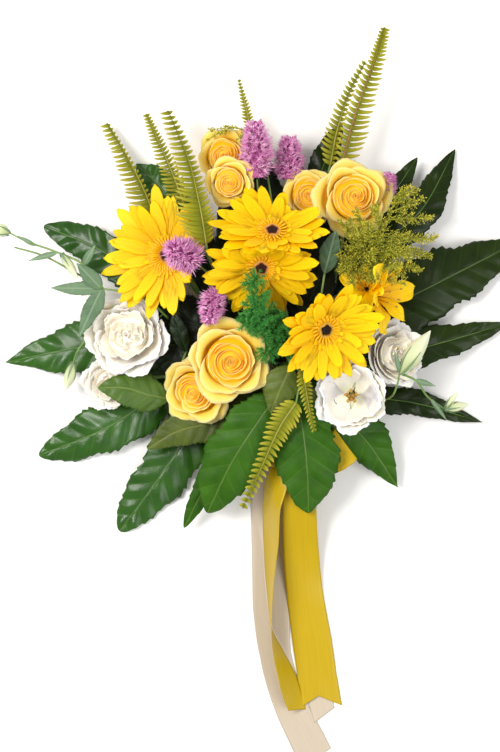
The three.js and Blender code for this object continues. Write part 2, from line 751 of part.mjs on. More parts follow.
// Aralia leaves: long glossy lobes with toothed edges joined at a palm
// Every lobe: spine points from the palm to the tip, half-width, where it is widest, fold
const ARALIA = {
  left: {
    palm: at(236, 350, 7), radius: 22,
    lobes: [
      { spine: [at(228, 334, 7), at(196, 252, 10), at(163, 190, 12), at(134, 160, 4)], half: 19 },
      { spine: [at(219, 340, 7), at(168, 300, 12), at(105, 252, 16), at(40, 223, 1.6)], half: 22 },
      { spine: [at(217, 349, 7), at(160, 344, 12), at(84, 346, 16), at(1, 362, 1.6)], half: 28 },
      { spine: [at(218, 359, 7), at(170, 386, 12), at(105, 428, 15), at(35, 457, 1.6)], half: 26 },
      { spine: [at(226, 368, 7), at(204, 410, 11), at(160, 476, 12), at(117, 534, 1.6)], half: 27 },
    ],
    stem: 'aralia_left',
  },
  right: {
    palm: at(292, 372, 11.5), radius: 16,
    lobes: [
      { spine: [at(306, 377, 11.5), at(350, 394, 14), at(420, 404, 16), at(486, 423, 6)], half: 14 },
      { spine: [at(307, 368, 11.5), at(360, 360, 16), at(430, 346, 20), at(514, 322, 6)], half: 20 },
      { spine: [at(302, 360, 11.5), at(362, 322, 16), at(440, 282, 22), at(522, 240, 5)], half: 33 },
    ],
    stem: 'aralia_right',
  },
  far: {
    palm: at(298, 322, 17), radius: 16.5,
    lobes: [
      { spine: [at(308, 311, 17), at(362, 256, 22), at(420, 212, 26), at(459, 145, 4)], half: 20 },
      { spine: [at(301, 307, 17), at(342, 246, 22), at(388, 200, 24), at(420, 154, 14)], half: 14 },
      { spine: [at(294, 308, 17), at(302, 240, 20), at(322, 170, 20), at(343, 118, 6)], half: 17 },
    ],
    stem: 'aralia_far',
  },
  front: {
    palm: at(288, 376, 58), radius: 14,
    lobes: [
      { spine: [at(277, 384, 58), at(250, 420, 57), at(216, 466, 44), at(183, 530, 18)], half: 13 },
      { spine: [at(283, 388, 59), at(262, 416, 65), at(232, 462, 58), at(207, 514, 36)], half: 31 },
      { spine: [at(291, 389, 58), at(301, 420, 63), at(307, 466, 59), at(309, 514, 44)], half: 33 },
      { spine: [at(300, 380, 57.6), at(327, 404, 45), at(366, 440, 32), at(400, 489, 12)], half: 24 },
    ],
    stem: 'aralia_front',
  },
};

// Half-width along a lobe, narrow at the palm, widest past the middle, toothed towards the tip
function lobeWidth(lobe) {
  return (t, side) => {
    const belly = Math.sin(Math.PI * Math.min(1, t ** 1.15)) ** 0.8;
    const tooth = 1 + (t > 0.3 && t < 0.97 ? 0.07 * (Math.round(t * 6) % 2 === 0 ? -1 : 1) : 0);
    const neck = 0.2 * (1 - t);
    return Math.max(0.8, lobe.half * Math.max(belly * (0.35 + 0.65 * Math.min(1, t / 0.55)), neck) * tooth);
  };
}

function araliaLeaf(leaf) {
  const list = [turned(headFrame(leaf.palm, [0, 0, 1]), [
    [leaf.radius * 0.9, -LEAF_THICKNESS / 2], [leaf.radius, LEAF_THICKNESS / 2],
  ], 10)];
  for (const lobe of leaf.lobes) {
    list.push(blade(lobe.spine, lobeWidth(lobe), {
      stations: 7, columns: 3, fold: 0.14, facing: [0, 0, 1], thickness: LEAF_THICKNESS,
    }));
  }
  return list;
}

// Broad single leaves
const SALAL = {
  left: {
    leaves: [
      { spine: [at(168, 399, 34), at(148, 395, 42), at(124, 388, 48), at(97, 388, 48)], half: 19 },
      { spine: [at(230, 414, 34), at(206, 424, 35), at(176, 432, 34), at(147, 449, 30)], half: 19 },
      { spine: [at(186, 352, 50), at(181, 338, 54), at(177, 325, 56), at(174, 311, 55)], half: 9 },
    ],
    twigs: [
      [0.99, at(168, 399, 34)], [0.8, at(230, 414, 34)],
      [0.99, at(186, 398, 33), at(177, 377, 37), at(186, 352, 50)],
    ],
    stem: 'salal_left',
  },
  right: {
    leaves: [
      { spine: [at(290, 366, 72), at(284, 380, 74), at(277, 396, 72), at(270, 413, 68)], half: 18 },
      { spine: [at(312, 388, 62), at(322, 402, 58.5), at(334, 418, 55), at(345, 432, 51)], half: 10 },
    ],
    twigs: [[1, at(290, 366, 72)], [1, at(312, 388, 62)]],
    stem: 'salal_right',
  },
};

const ovalWidth = (half) => (t) => Math.max(0.8, half * Math.sin(Math.PI * t ** 0.85) ** 0.75);

// Stems
// Every stem leaves the tie, keeps clear of its neighbours and of the undersides of the blooms,
// and meets its own bloom, leaf or frond at end, travelling in the direction into.
const under = (head, depth) => add(head.centre, mul(unit(head.facing), -depth));
const frondEnd = (fern) => ({ end: fern.spine[0], into: unit(sub(fern.spine[1], fern.spine[0])) });
const bloomEnd = (head, depth) => ({ end: under(head, depth), into: unit(head.facing) });
const spikeEnd = (spike) => ({
  end: add(spike.base, mul(unit(spike.axis), -GAP)), into: unit(spike.axis),
});

const STEMS = {
  aralia_left: { r: 2.2, end: at(246, 356, 7.4), into: [-0.6, 0.7, 0], low: true },
  aralia_right: { r: 2.2, end: at(294, 382, 11), into: [-0.1, 1, 0], low: true },
  aralia_far: {
    r: 2.2, end: at(299, 332, 16.6), into: [0, 1, 0], low: true, via: [at(300, 372, 17)],
  },
  aralia_front: { r: 2.2, end: at(289, 386, 57.6), into: [0, 0.5, 0.85] },
  salal_left: { r: 1.6, end: at(206, 403, 30), into: [-0.95, 0.1, 0.2] },
  salal_right: {
    r: 1.5, end: at(290, 360, 71), into: [0.2, -0.6, 0.75], via: [at(284, 352, 56)],
  },
  gerbera_left: { r: 2.6, ...bloomEnd(GERBERAS.left, 16) },
  gerbera_upper: { r: 2.6, ...bloomEnd(GERBERAS.upper, 16) },
  gerbera_middle: { r: 2.6, ...bloomEnd(GERBERAS.middle, 16) },
  gerbera_lower: { r: 2.6, ...bloomEnd(GERBERAS.lower, 16) },
  alstroemeria: { r: 2, ...bloomEnd(ALSTROEMERIA, 14 + GAP) },
  rose_far: { r: 2.3, ...bloomEnd(ROSES.far_left, 0.84 * 25 + 4) },
  rose_right: { r: 2.4, ...bloomEnd(ROSES.big_right, 0.84 * 33 + 4) },
  rose_front: { r: 2.4, ...bloomEnd(ROSES.big_front, 0.84 * 35 + 4) },
  lisianthus_left: { r: 2, ...bloomEnd(LISIANTHUS.left, 0.86 * 37 + GAP), higher: 24 },
  lisianthus_right: { r: 2, ...bloomEnd(LISIANTHUS.far_right, 0.86 * 30 + GAP) },
  liatris_far_middle: { r: 1.5, ...spikeEnd(LIATRIS.far_middle) },
  liatris_far_right: { r: 1.5, ...spikeEnd(LIATRIS.far_right) },
  liatris_middle_left: {
    r: 1.5, ...spikeEnd(LIATRIS.middle_left), via: [at(222, 283, 72), at(207, 272, 86)],
  },
  liatris_low_left: { r: 1.5, ...spikeEnd(LIATRIS.low_left) },
  liatris_right: { r: 1.5, ...spikeEnd(LIATRIS.right) },
  goldenrod_plume: { r: 1.5, end: GOLDENROD.plume.spine[0], into: [0.3, 0.5, 0.6] },
  goldenrod_sprig: { r: 1.2, end: GOLDENROD.sprig.spine[0], into: [-0.3, 1, 0.2] },
  asparagus_fern: { r: 1.4, end: ASPARAGUS.spine[0], into: [0, 0.5, 0.8] },
};
for (const [name, fern] of Object.entries(FERNS)) {
  STEMS[`fern_${name}`] = { r: 1.1, ...frondEnd(fern) };
}
STEMS.fern_front_long.via = [at(306, 352, 62), at(302, 374, 84)];
STEMS.fern_front_short.via = [at(314, 338, 62), at(306, 352, 86)];

const TIE = at(TIE_COLUMN, TIE_ROW, TIE_HEIGHT);

// Packs the stems as circles in the tie, low ones low and left ones left
function packSlots() {
  const names = Object.keys(STEMS);
  const slots = names.map((name) => {
    const { end, r } = STEMS[name];
    const d = sub(end, TIE);
    const reach = Math.hypot(d[0], d[1]);
    const rank = Math.min(1, Math.max(-1, (end[2] + (STEMS[name].higher || 0) - 48) / 40));
    return { name, r: r + 0.13, x: (13 * d[0]) / reach, z: 13 * rank };
  });
  for (let step = 0; step < 900; step += 1) {
    const pull = step < 700 ? 0.02 : 0;
    for (const s of slots) {
      s.x *= 1 - pull;
      s.z *= 1 - pull;
    }
    for (let i = 0; i < slots.length; i += 1) {
      for (let j = i + 1; j < slots.length; j += 1) {
        const a = slots[i];
        const b = slots[j];
        const dx = b.x - a.x + 1e-6;
        const dz = b.z - a.z;
        const d = Math.hypot(dx, dz);
        const lack = a.r + b.r - d;
        if (lack > 0) {
          a.x -= (dx / d) * lack * 0.5;
          a.z -= (dz / d) * lack * 0.5;
          b.x += (dx / d) * lack * 0.5;
          b.z += (dz / d) * lack * 0.5;
        }
      }
    }
  }
  return slots;
}

// Undersides the stems stay below: at height A + B * (distance / R) along the facing direction
function undersides() {
  const list = [];
  for (const [name, g] of Object.entries(GERBERAS)) {
    const fall = g.swing > 10 ? -20 : -12;
    list.push({ own: `gerbera_${name}`, c: g.centre, n: unit(g.facing), R: g.radius, A: -5, B: fall });
  }
  const bowls = [...Object.entries(ROSES).map(([name, o]) => [`rose_${name}`, o]),
    ...Object.entries(LISIANTHUS).map(([name, o]) => [`lisianthus_${name}`, o])];
  for (const [name, o] of bowls) {
    list.push({
      own: name, c: o.centre, n: unit(o.facing), R: o.radius, A: -0.9 * o.radius, B: 0.6 * o.radius,
    });
  }
  return list;
}

// Nearest points of two pieces of line, as fractions along each
function nearest(p, q, a, b) {
  const d1 = sub(q, p);
  const d2 = sub(b, a);
  const r = sub(p, a);
  const A = dot(d1, d1);
  const E = dot(d2, d2);
  const F = dot(d2, r);
  const C = dot(d1, r);
  const B = dot(d1, d2);
  const den = A * E - B * B;
  let s = den > 1e-9 ? Math.min(1, Math.max(0, (B * F - C * E) / den)) : 0.5;
  let t = (B * s + F) / E;
  if (t < 0) {
    t = 0;
    s = Math.min(1, Math.max(0, -C / A));
  } else if (t > 1) {
    t = 1;
    s = Math.min(1, Math.max(0, (B - C) / A));
  }
  return [s, t];
}

const FREE = 4;

// Side stalks: the stem they leave and where, the bloom they carry, their direction under it
const SIDES = {
  side_mid_left: {
    on: 'rose_far', t: 0.7, r: 1.9, head: ROSES.mid_left, depth: 0.84, gap: 4, into: [0, -0.1, 1],
  },
  side_far_right: {
    on: 'rose_right', t: 0.5, r: 1.9, head: ROSES.far_right, depth: 0.84, gap: 4.4, into: [-0.3, 0.9, 0.4],
  },
  side_low_front: {
    on: 'rose_front', t: 0.45, r: 1.9, head: ROSES.low_front, depth: 0.84, gap: 4, into: [-0.7, -0.1, 0.6],
  },
  side_low_left: {
    on: 'lisianthus_left', t: 0.6, r: 1.7, head: LISIANTHUS.low_left, depth: 0.86, gap: 1.3,
    into: [-0.9, -0.1, 0.5],
  },
  side_right: {
    on: 'lisianthus_right', t: 0.5, r: 1.7, head: LISIANTHUS.right, depth: 0.86, gap: 1.3,
    into: [-0.2, -0.3, 0.93],
  },
};
const SIDE_FREE = 3;

function firstSide(side, line) {
  const root = joint(line, side.t);
  const target = under(side.head, side.depth * side.head.radius + side.gap);
  const before = sub(target, mul(unit(side.into), 8));
  const points = [root];
  for (let i = 1; i <= SIDE_FREE; i += 1) {
    const f = i / (SIDE_FREE + 1);
    const lead = mul(heading(line, side.t), 6 * Math.sin(Math.PI * f));
    points.push(add(mix(root, before, f), lead));
  }
  points.push(before, target);
  return points;
}

function firstLine(slot, stem) {
  const x = TIE[0] + slot.x;
  const z = TIE[2] + slot.z;
  const cut = CENTRE_ROW - CUT_ROW + 8 * chance(slot.x) + (stem.r < 2 ? -3 : 0);
  const before = [x, TIE[1] - WRAP_HALF_LENGTH - 3, z];
  const after = [x, TIE[1] + WRAP_HALF_LENGTH + 3, z];
  const tail = [TIE[0] + slot.x * 1.1, cut, TIE[2] + slot.z * 1.02];
  const reach = size(sub(stem.end, after));
  const room = Math.max(4, (stem.end[2] - 22) / Math.max(0.2, stem.into[2]));
  const lead = Math.min(14, reach * 0.25, stem.low ? 14 : room);
  const via = stem.via || [sub(stem.end, mul(stem.into, lead))];
  const last = via[0];
  const k = reach * 0.55;
  const line = [tail, before, after];
  for (let i = 1; i <= FREE; i += 1) {
    const t = i / (FREE + 1);
    const h1 = 2 * t ** 3 - 3 * t ** 2 + 1;
    const h2 = t ** 3 - 2 * t ** 2 + t;
    const h3 = -2 * t ** 3 + 3 * t ** 2;
    const h4 = t ** 3 - t ** 2;
    const m0 = [slot.x * 0.02 * k, k, 0];
    const m1 = stem.via ? mul(unit(sub(via[1] || stem.end, last)), k * 0.5) : mul(stem.into, k * 0.8);
    line.push(add(add(mul(after, h1), mul(m0, h2)), add(mul(last, h3), mul(m1, h4))));
  }
  line.push(...via, stem.end);
  return line;
}

// Pushes lines apart, keeps them over the floor leaves and under the blooms. Lines in still stay.
function settle(lines, still) {
  const ceilings = undersides();
  const names = Object.keys(lines);
  const others = Object.keys(still);
  const all = { ...lines, ...still };
  const radius = (name) => (STEMS[name] || SIDES[name]).r;
  const first = (name) => (SIDES[name] ? 0 : 2);
  const range = (name) => (SIDES[name] ? [1, SIDE_FREE] : [3, FREE + 2]);
  const palmTop = (p) => {
    const far = Math.hypot(p[0] - TIE[0], p[1] - TIE[1]);
    return lerp(4, 23, Math.min(1, Math.max(0, (far - 25) / 30)));
  };
  const move = (name, k, way, amount) => {
    const [from, to] = range(name);
    if (names.includes(name) && k >= from && k <= to) {
      const line = all[name];
      line[k] = add(line[k], mul(way, amount));
    }
  };
  const part = (nameA, nameB) => {
    const A = all[nameA];
    const B = all[nameB];
    const need = radius(nameA) + radius(nameB) + 1.6;
    const sameStem = SIDES[nameA] && SIDES[nameA].on === nameB;
    for (let a = first(nameA) + (sameStem ? 1 : 0); a + 1 < A.length; a += 1) {
      for (let b = first(nameB); b + 1 < B.length; b += 1) {
        if (Math.abs(A[a][1] - B[b][1]) > 90 || Math.abs(A[a][0] - B[b][0]) > 90) {
          continue;
        }
        const [s, t] = nearest(A[a], A[a + 1], B[b], B[b + 1]);
        const gap = sub(mix(A[a], A[a + 1], s), mix(B[b], B[b + 1], t));
        const d = size(gap);
        if (d < need) {
          const way = d > 0.01 ? mul(gap, 1 / d) : [0, 0, 1];
          const push = (need - d) * 0.3;
          move(nameA, a, way, push * (1 - s));
          move(nameA, a + 1, way, push * s);
          move(nameB, b, way, -push * (1 - t));
          move(nameB, b + 1, way, -push * t);
        }
      }
    }
  };
  for (let step = 0; step < 420; step += 1) {
    const slack = step < 300 ? 0.12 : 0.01;
    for (let i = 0; i < names.length; i += 1) {
      for (let j = i + 1; j < names.length; j += 1) {
        part(names[i], names[j]);
      }
      for (const other of others) {
        part(names[i], other);
      }
    }
    for (const name of names) {
      const line = lines[name];
      const [from, to] = range(name);
      for (let i = from; i <= to; i += 1) {
        line[i] = mix(line[i], mix(line[i - 1], line[i + 1], 0.5), slack);
        const low = STEMS[name] && STEMS[name].low ? 3 : palmTop(line[i]) + radius(name);
        if (line[i][2] < low) {
          line[i][2] += (low - line[i][2]) * 0.5;
        }
        for (const c of ceilings) {
          if (c.own === name || (SIDES[name] && SIDES[name].head.centre === c.c)) {
            continue;
          }
          const d = sub(line[i], c.c);
          const h = dot(d, c.n);
          const out = size(sub(d, mul(c.n, h)));
          const top = c.A + (c.B * out) / c.R - radius(name) - 2;
          if (out < c.R + 2 && h > top && h < top + 30) {
            line[i] = sub(line[i], mul(c.n, (h - top) * 0.3));
          }
        }
      }
    }
  }
  return lines;
}

const slots = packSlots();
const bundleRadius = Math.max(...slots.map((s) => Math.hypot(s.x, s.z) + s.r));
const LINES = settle(Object.fromEntries(slots.map((s) => [s.name, firstLine(s, STEMS[s.name])])), {});
const SIDE_LINES = settle(Object.fromEntries(
  Object.entries(SIDES).map(([name, side]) => [name, firstSide(side, LINES[side.on])]),
), LINES);

function stemStalk(name, sides) {
  return stalk(LINES[name], STEMS[name].r, sides, LINES[name].length);
}

// Green cup that closes a gerbera head from behind and carries on as its stem
function gerberaStem(name, head) {
  const frame = headFrame(head.centre, head.facing);
  const cup = turned(frame, [[2.9, -17], [6.5, -9], [9.5, -4], [9.5, -GAP]], 7);
  return join([stemStalk(`gerbera_${name}`, 5), cup]);
}

// Hip and five spread sepals under a rose, down to the stalk
function roseHip(rose, turn = 0) {
  const frame = headFrame(rose.centre, rose.facing);
  const top = -0.84 * rose.radius - GAP;
  const star = (z, tip, root) => {
    const ring = [];
    for (let j = 0; j < 10; j += 1) {
      const a = (Math.PI * j) / 5 + turn;
      const r = j % 2 === 0 ? tip : root;
      ring.push(frame.place(Math.cos(a) * r, Math.sin(a) * r, z - (j % 2 === 0 ? 2 : 0)));
    }
    return ring;
  };
  const reach = 0.5 * rose.radius;
  return loft([star(top - 8, 2.4, 2.4), star(top - 1.4, reach, 3.8), star(top, reach * 0.94, 4)]);
}

const sideStalk = (name) => stalk(SIDE_LINES[name], SIDES[name].r, 4, SIDE_LINES[name].length);

// Long flower buds, narrow blue-green leaves and thin stalks beside the lisianthus blooms.
// A stalk that begins with a number starts on the main stem, at that share of its length.
// The others start on an earlier stalk of the same spray. A bud and a leaf run from root to tip,
// and their last number is a half width.
const SPRAYS = {
  left: {
    stem: 'lisianthus_left',
    stalks: [
      [0.82, at(168, 318, 46), at(150, 302, 65), at(128, 293, 68), at(103, 289, 72)],
      [at(103, 289, 72), at(84, 265, 74), at(56, 252, 71), at(28, 242, 66), at(8, 232, 60)],
      [at(101, 287, 71.4), at(74, 272, 66), at(44, 256, 60), at(14, 247, 54)],
      [0.9, at(106, 340, 33), at(88, 338, 40), at(76, 352, 42), at(72, 364, 38)],
    ],
    buds: [
      [at(10, 233, 60.5), at(-11, 226, 56), 7], [at(72, 362, 38), at(64, 391, 30), 6],
      [at(62, 254, 71.5), at(79, 279, 76), 4.5],
    ],
    leaves: [
      [at(102, 289, 72), at(78, 264, 79), 8], [at(102, 289, 72), at(51, 288, 62), 7],
      [at(103, 287, 72), at(79, 337, 60), 9], [at(58, 253, 71), at(29, 261, 66), 3],
    ],
  },
  right: {
    stem: 'lisianthus_right',
    stalks: [
      [0.55, at(380, 402, 36), at(392, 396, 58), at(397, 382, 80), at(398, 373, 86)],
      [at(398, 373, 86), at(415, 381, 84), at(427, 397, 76), at(446, 410, 66)],
    ],
    buds: [
      [at(399, 374, 85.6), at(429, 331, 84), 8], [at(444, 409, 67), at(470, 404, 62), 5],
      [at(445, 409, 66.6), at(457, 392, 70), 3.4],
    ],
    leaves: [[at(399, 374, 86), at(393, 351, 92), 2.6], [at(414, 380, 84), at(434, 386, 82), 3]],
  },
};

function sprayPieces(spray) {
  const list = [];
  for (const points of spray.stalks) {
    const line = typeof points[0] === 'number'
      ? [joint(LINES[spray.stem], points[0]), ...points.slice(1)] : points;
    list.push(stalk(line, 1.1, 3, 4));
  }
  for (const [root, tip, r] of spray.buds) {
    list.push(stalk([root, mix(root, tip, 0.5), tip], (t) => (
      Math.max(0.3, r * Math.sin(Math.PI * (0.1 + 0.86 * t)))), 4, 4));
  }
  for (const [root, tip, half] of spray.leaves) {
    const bow = add(mix(root, tip, 0.5), [0, 0, 2]);
    list.push(blade([root, bow, tip], ovalWidth(half), {
      stations: 4, columns: 2, fold: 0, facing: [0, 0, 1], thickness: LEAF_THICKNESS,
    }));
  }
  return list;
}

// Wrap and ribbons
function wrap() {
  const outer = TIE_HEIGHT + 0.8;
  const inner = bundleRadius + 0.5;
  const sides = 20;
  const points = [];
  const triangles = [];
  for (const y of [TIE[1] - WRAP_HALF_LENGTH, TIE[1] + WRAP_HALF_LENGTH]) {
    for (const r of [inner, outer]) {
      for (let j = 0; j < sides; j += 1) {
        const a = ((j + 0.5) / sides) * 2 * Math.PI;
        points.push([TIE[0] + Math.sin(a) * r, y, Math.max(0, TIE[2] - Math.cos(a) * r)]);
      }
    }
  }
  const quad = (a, b, c, d) => triangles.push([a, b, c], [a, c, d]);
  for (let j = 0; j < sides; j += 1) {
    const k = (j + 1) % sides;
    const [i0, o0, i1, o1] = [j, sides + j, 2 * sides + j, 3 * sides + j];
    const [i0n, o0n, i1n, o1n] = [k, sides + k, 2 * sides + k, 3 * sides + k];
    quad(i0, i0n, o0n, o0);
    quad(i1, o1, o1n, i1n);
    quad(o0, o0n, o1n, o1);
    quad(i0, i1, i1n, i0n);
  }
  return solid(points, triangles);
}

// A ribbon: stations of [column, row, height, width, tilt in degrees about its length]
function ribbonStrip(list, ends) {
  const spots = list.map(([column, row, z]) => at(column, row, z));
  const grid = [];
  const count = ends.stations;
  for (let i = 0; i < count; i += 1) {
    const t = i / (count - 1);
    const f = t * (list.length - 1);
    const k = Math.min(Math.floor(f), list.length - 2);
    const width = lerp(list[k][3], list[k + 1][3], f - k);
    const tilt = lerp(list[k][4], list[k + 1][4], f - k) * DEG;
    const centre = along(spots, t);
    const d = heading(spots, t);
    const flat = unit(cross(d, ends.up || [0, 0, 1]));
    const up = cross(flat, d);
    const across = add(mul(flat, Math.cos(tilt)), mul(up, Math.sin(tilt)));
    const row = [];
    for (const s of ends.columns === 2 ? [-1, 1] : [-1, 0, 1]) {
      const notch = i === count - 1 ? ends.notch * (1 - Math.abs(s)) : 0;
      const slant = i === count - 1 ? ends.slant * s : 0;
      row.push(add(add(centre, mul(across, (s * width) / 2)), mul(d, slant - notch)));
    }
    grid.push(row);
  }
  return sheet(grid, RIBBON_THICKNESS);
}

const WRAP_TOP = 2 * TIE_HEIGHT + 0.8;

function yellowRibbon() {
  const knot = WRAP_TOP + 2.4;
  const wide = ribbonStrip([
    [302, 448, knot, 22, 0], [301, 478, knot, 32, 0], [300, 512, 36, 34, 0],
    [302, 556, 15, 36, 0], [306, 598, 2.6, 37, 0], [313, 645, 1.7, 40, 0],
    [318, 680, 1.7, 40, 0], [321, 714, 1.7, 46, 0],
  ], { stations: 11, columns: 3, notch: 12, slant: 0 });
  const narrow = ribbonStrip([
    [297, 448, knot, 20, 0], [281, 474, knot, 24, -20], [272, 504, 35, 34, -56],
    [271, 545, 21, 36, -66], [270, 590, 20, 36, -80], [272, 632, 20, 36, -90],
    [279, 658, 19, 34, -108], [288, 684, 16, 32, -126], [298, 716, 7, 20, -150],
  ], { stations: 11, columns: 2, notch: 0, slant: 4 });
  const loop = (side) => ribbonStrip([
    [302 + side * 2, 450, knot - 0.8, 24, 0], [302 + side * 24, 450, knot - 1, 35, 0],
    [302 + side * 44, 450, knot - 0.4, 38, 0], [302 + side * 50, 450, knot + 1.6, 38, 0],
    [302 + side * 44, 450, knot + 3.6, 38, 0], [302 + side * 24, 450, knot + 3.4, 32, 0],
    [302 + side * 2, 450, knot + 1.6, 22, 0],
  ], { stations: 7, columns: 2, notch: 0, slant: 0 });
  const boss = turned(headFrame(at(302, 450, knot), [0, 0, 1]), [
    [7, -1.9], [9.5, 0.4], [6, 4.2],
  ], 8);
  return join([wide, narrow, loop(1), loop(-1), boss]);
}

function creamRibbon() {
  const main = ribbonStrip([
    [279, 449, 17, 22, 84], [277, 466, 15, 28, 62], [272, 488, 8.4, 34, 24],
    [270, 512, 1, 38, 0], [271, 560, 0.5, 38, 0], [272, 612, 0.5, 38, 0],
    [276, 660, 0.5, 32, 0], [289, 706, 0.5, 33, 0], [309, 748, 0.5, 36, 0],
    [318, 766, 0.5, 36, 0],
  ], { stations: 13, columns: 2, notch: 0, slant: 3 });
  const under = ribbonStrip([
    [281, 500, 3.4, 20, 0], [293, 560, 0.75, 24, 0], [303, 620, 0.75, 26, 0],
    [315, 680, 0.75, 26, 0], [326, 722, 0.75, 24, 0],
  ], { stations: 7, columns: 2, notch: 0, slant: 5 });
  return join([main, under]);
}

// All pieces
const parts = {};

function collect() {
  for (const [name, head] of Object.entries(GERBERAS)) {
    parts[`gerbera_${name}_petals`] = gerberaPetals(head);
    parts[`gerbera_${name}_eye`] = gerberaEye(head);
    parts[`gerbera_${name}_stem`] = gerberaStem(name, head);
  }
  Object.entries(ROSES).forEach(([name, rose], i) => {
    parts[`rose_${name}`] = roseBloom(rose, i + 1);
  });
  Object.entries(LISIANTHUS).forEach(([name, bloom], i) => {
    parts[`lisianthus_${name}`] = lisianthusBloom(bloom, i + 1);
  });
  parts.alstroemeria_bloom = alstroemeriaBloom();
  parts.alstroemeria_stem = stemStalk('alstroemeria', 4);
  Object.entries(LIATRIS).forEach(([name, spike], i) => {
    parts[`liatris_${name}`] = liatrisSpike(spike, i + 1);
    parts[`liatris_${name}_stem`] = stemStalk(`liatris_${name}`, 3);
  });
  for (const [name, spray] of Object.entries(GOLDENROD)) {
    parts[`goldenrod_${name}`] = join([goldenrod(spray), stemStalk(`goldenrod_${name}`, 3)]);
  }
  parts.asparagus_fern = join([asparagusFern(), stemStalk('asparagus_fern', 3)]);
  for (const [name, fern] of Object.entries(FERNS)) {
    parts[`fern_${name}`] = join([fernBlade(fern), stemStalk(`fern_${name}`, 3)]);
  }
  for (const [name, leaf] of Object.entries(ARALIA)) {
    parts[`aralia_${name}`] = join([...araliaLeaf(leaf), stemStalk(leaf.stem, 4)]);
  }
  for (const [name, spray] of Object.entries(SALAL)) {
    const blades = spray.leaves.map((leaf) => blade(leaf.spine, ovalWidth(leaf.half), {
      stations: 5, columns: 3, fold: 0.15, facing: [0, 0, 1], thickness: LEAF_THICKNESS,
    }));
    const twigs = spray.twigs.map(([t, ...points]) => {
      const line = [joint(LINES[spray.stem], t), ...points];
      return stalk(line, 1.3, 3, line.length);
    });
    parts[`salal_${name}`] = join([...blades, ...twigs, stemStalk(spray.stem, 3)]);
  }
  const roseStem = (name, first, second, side, turn) => join([
    stemStalk(name, 4), roseHip(first), sideStalk(side), roseHip(second, turn),
  ]);
  parts.rose_far_stem = roseStem('rose_far', ROSES.far_left, ROSES.mid_left, 'side_mid_left');
  parts.rose_right_stem = roseStem('rose_right', ROSES.big_right, ROSES.far_right, 'side_far_right', 0.3);
  parts.rose_front_stem = roseStem('rose_front', ROSES.big_front, ROSES.low_front, 'side_low_front');
  for (const [name, side] of [['left', 'side_low_left'], ['right', 'side_right']]) {
    parts[`lisianthus_${name}_stem`] = join([
      stemStalk(`lisianthus_${name}`, 4), ...sprayPieces(SPRAYS[name]), sideStalk(side),
    ]);
  }
  parts.stem_wrap = wrap();
  parts.yellow_ribbon = yellowRibbon();
  parts.cream_ribbon = creamRibbon();
}

// Colour, roughness and metalness of each kind of piece, found by the first match of its name
const FINISHES = [
  [/^gerbera_.*_petals$/, 0xffcc00, 0.6],
  [/_eye$/, 0x3a1510, 0.9],
  [/^rose_.*_stem$/, 0x6f8f3a, 0.6],
  [/^rose_/, 0xf6b24a, 0.6],
  [/^lisianthus_.*_stem$/, 0x7fa06a, 0.6],
  [/^lisianthus_/, 0xf6efe6, 0.6],
  [/^alstroemeria_bloom$/, 0xffc812, 0.5],
  [/^liatris_.*_stem$/, 0x7c9a48, 0.6],
  [/^liatris_/, 0xc86fc9, 0.8],
  [/^goldenrod_/, 0xa8a82a, 0.8],
  [/^asparagus_/, 0x2f8a3a, 0.7],
  [/^fern_/, 0x8fa61e, 0.6],
  [/^aralia_/, 0x1f5a1c, 0.35],
  [/^salal_/, 0x6f9a2e, 0.45],
  [/^cream_ribbon$/, 0xe3cfbd, 0.35],
  [/^(yellow_ribbon|stem_wrap)$/, 0xe0be10, 0.35],
  [/./, 0x7fa040, 0.6],
];

function finish(name) {
  const [, color, roughness] = FINISHES.find(([pattern]) => pattern.test(name));
  return new THREE.MeshStandardMaterial({ color, roughness, metalness: 0 });
}

function toMesh(name, body) {
  const mesh = body.getMesh();
  const geometry = new THREE.BufferGeometry();
  const flat = new Float32Array(mesh.numVert * 3);
  for (let i = 0; i < mesh.numVert; i += 1) {
    for (let c = 0; c < 3; c += 1) {
      flat[i * 3 + c] = mesh.vertProperties[i * mesh.numProp + c];
    }
  }
  geometry.setAttribute('position', new THREE.BufferAttribute(flat, 3));
  geometry.setIndex(new THREE.BufferAttribute(new Uint32Array(mesh.triVerts), 1));
  const piece = new THREE.Mesh(geometry, finish(name));
  piece.name = name;
  return piece;
}

collect();
const group = new THREE.Group();
group.name = 'mixed_flower_bouquet';
for (const [name, body] of Object.entries(parts)) {
  group.add(toMesh(name, body));
}
export default group;
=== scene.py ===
"""Mixed flower bouquet lying on its back with its ribbons trailing, seen from straight above.

Lengths are in millimetres until a mesh is made. The places repeat the ones of the solids: picture
column, picture row and height, where one pixel of the 500 by 752 picture is one millimetre.
"""
import json
import math

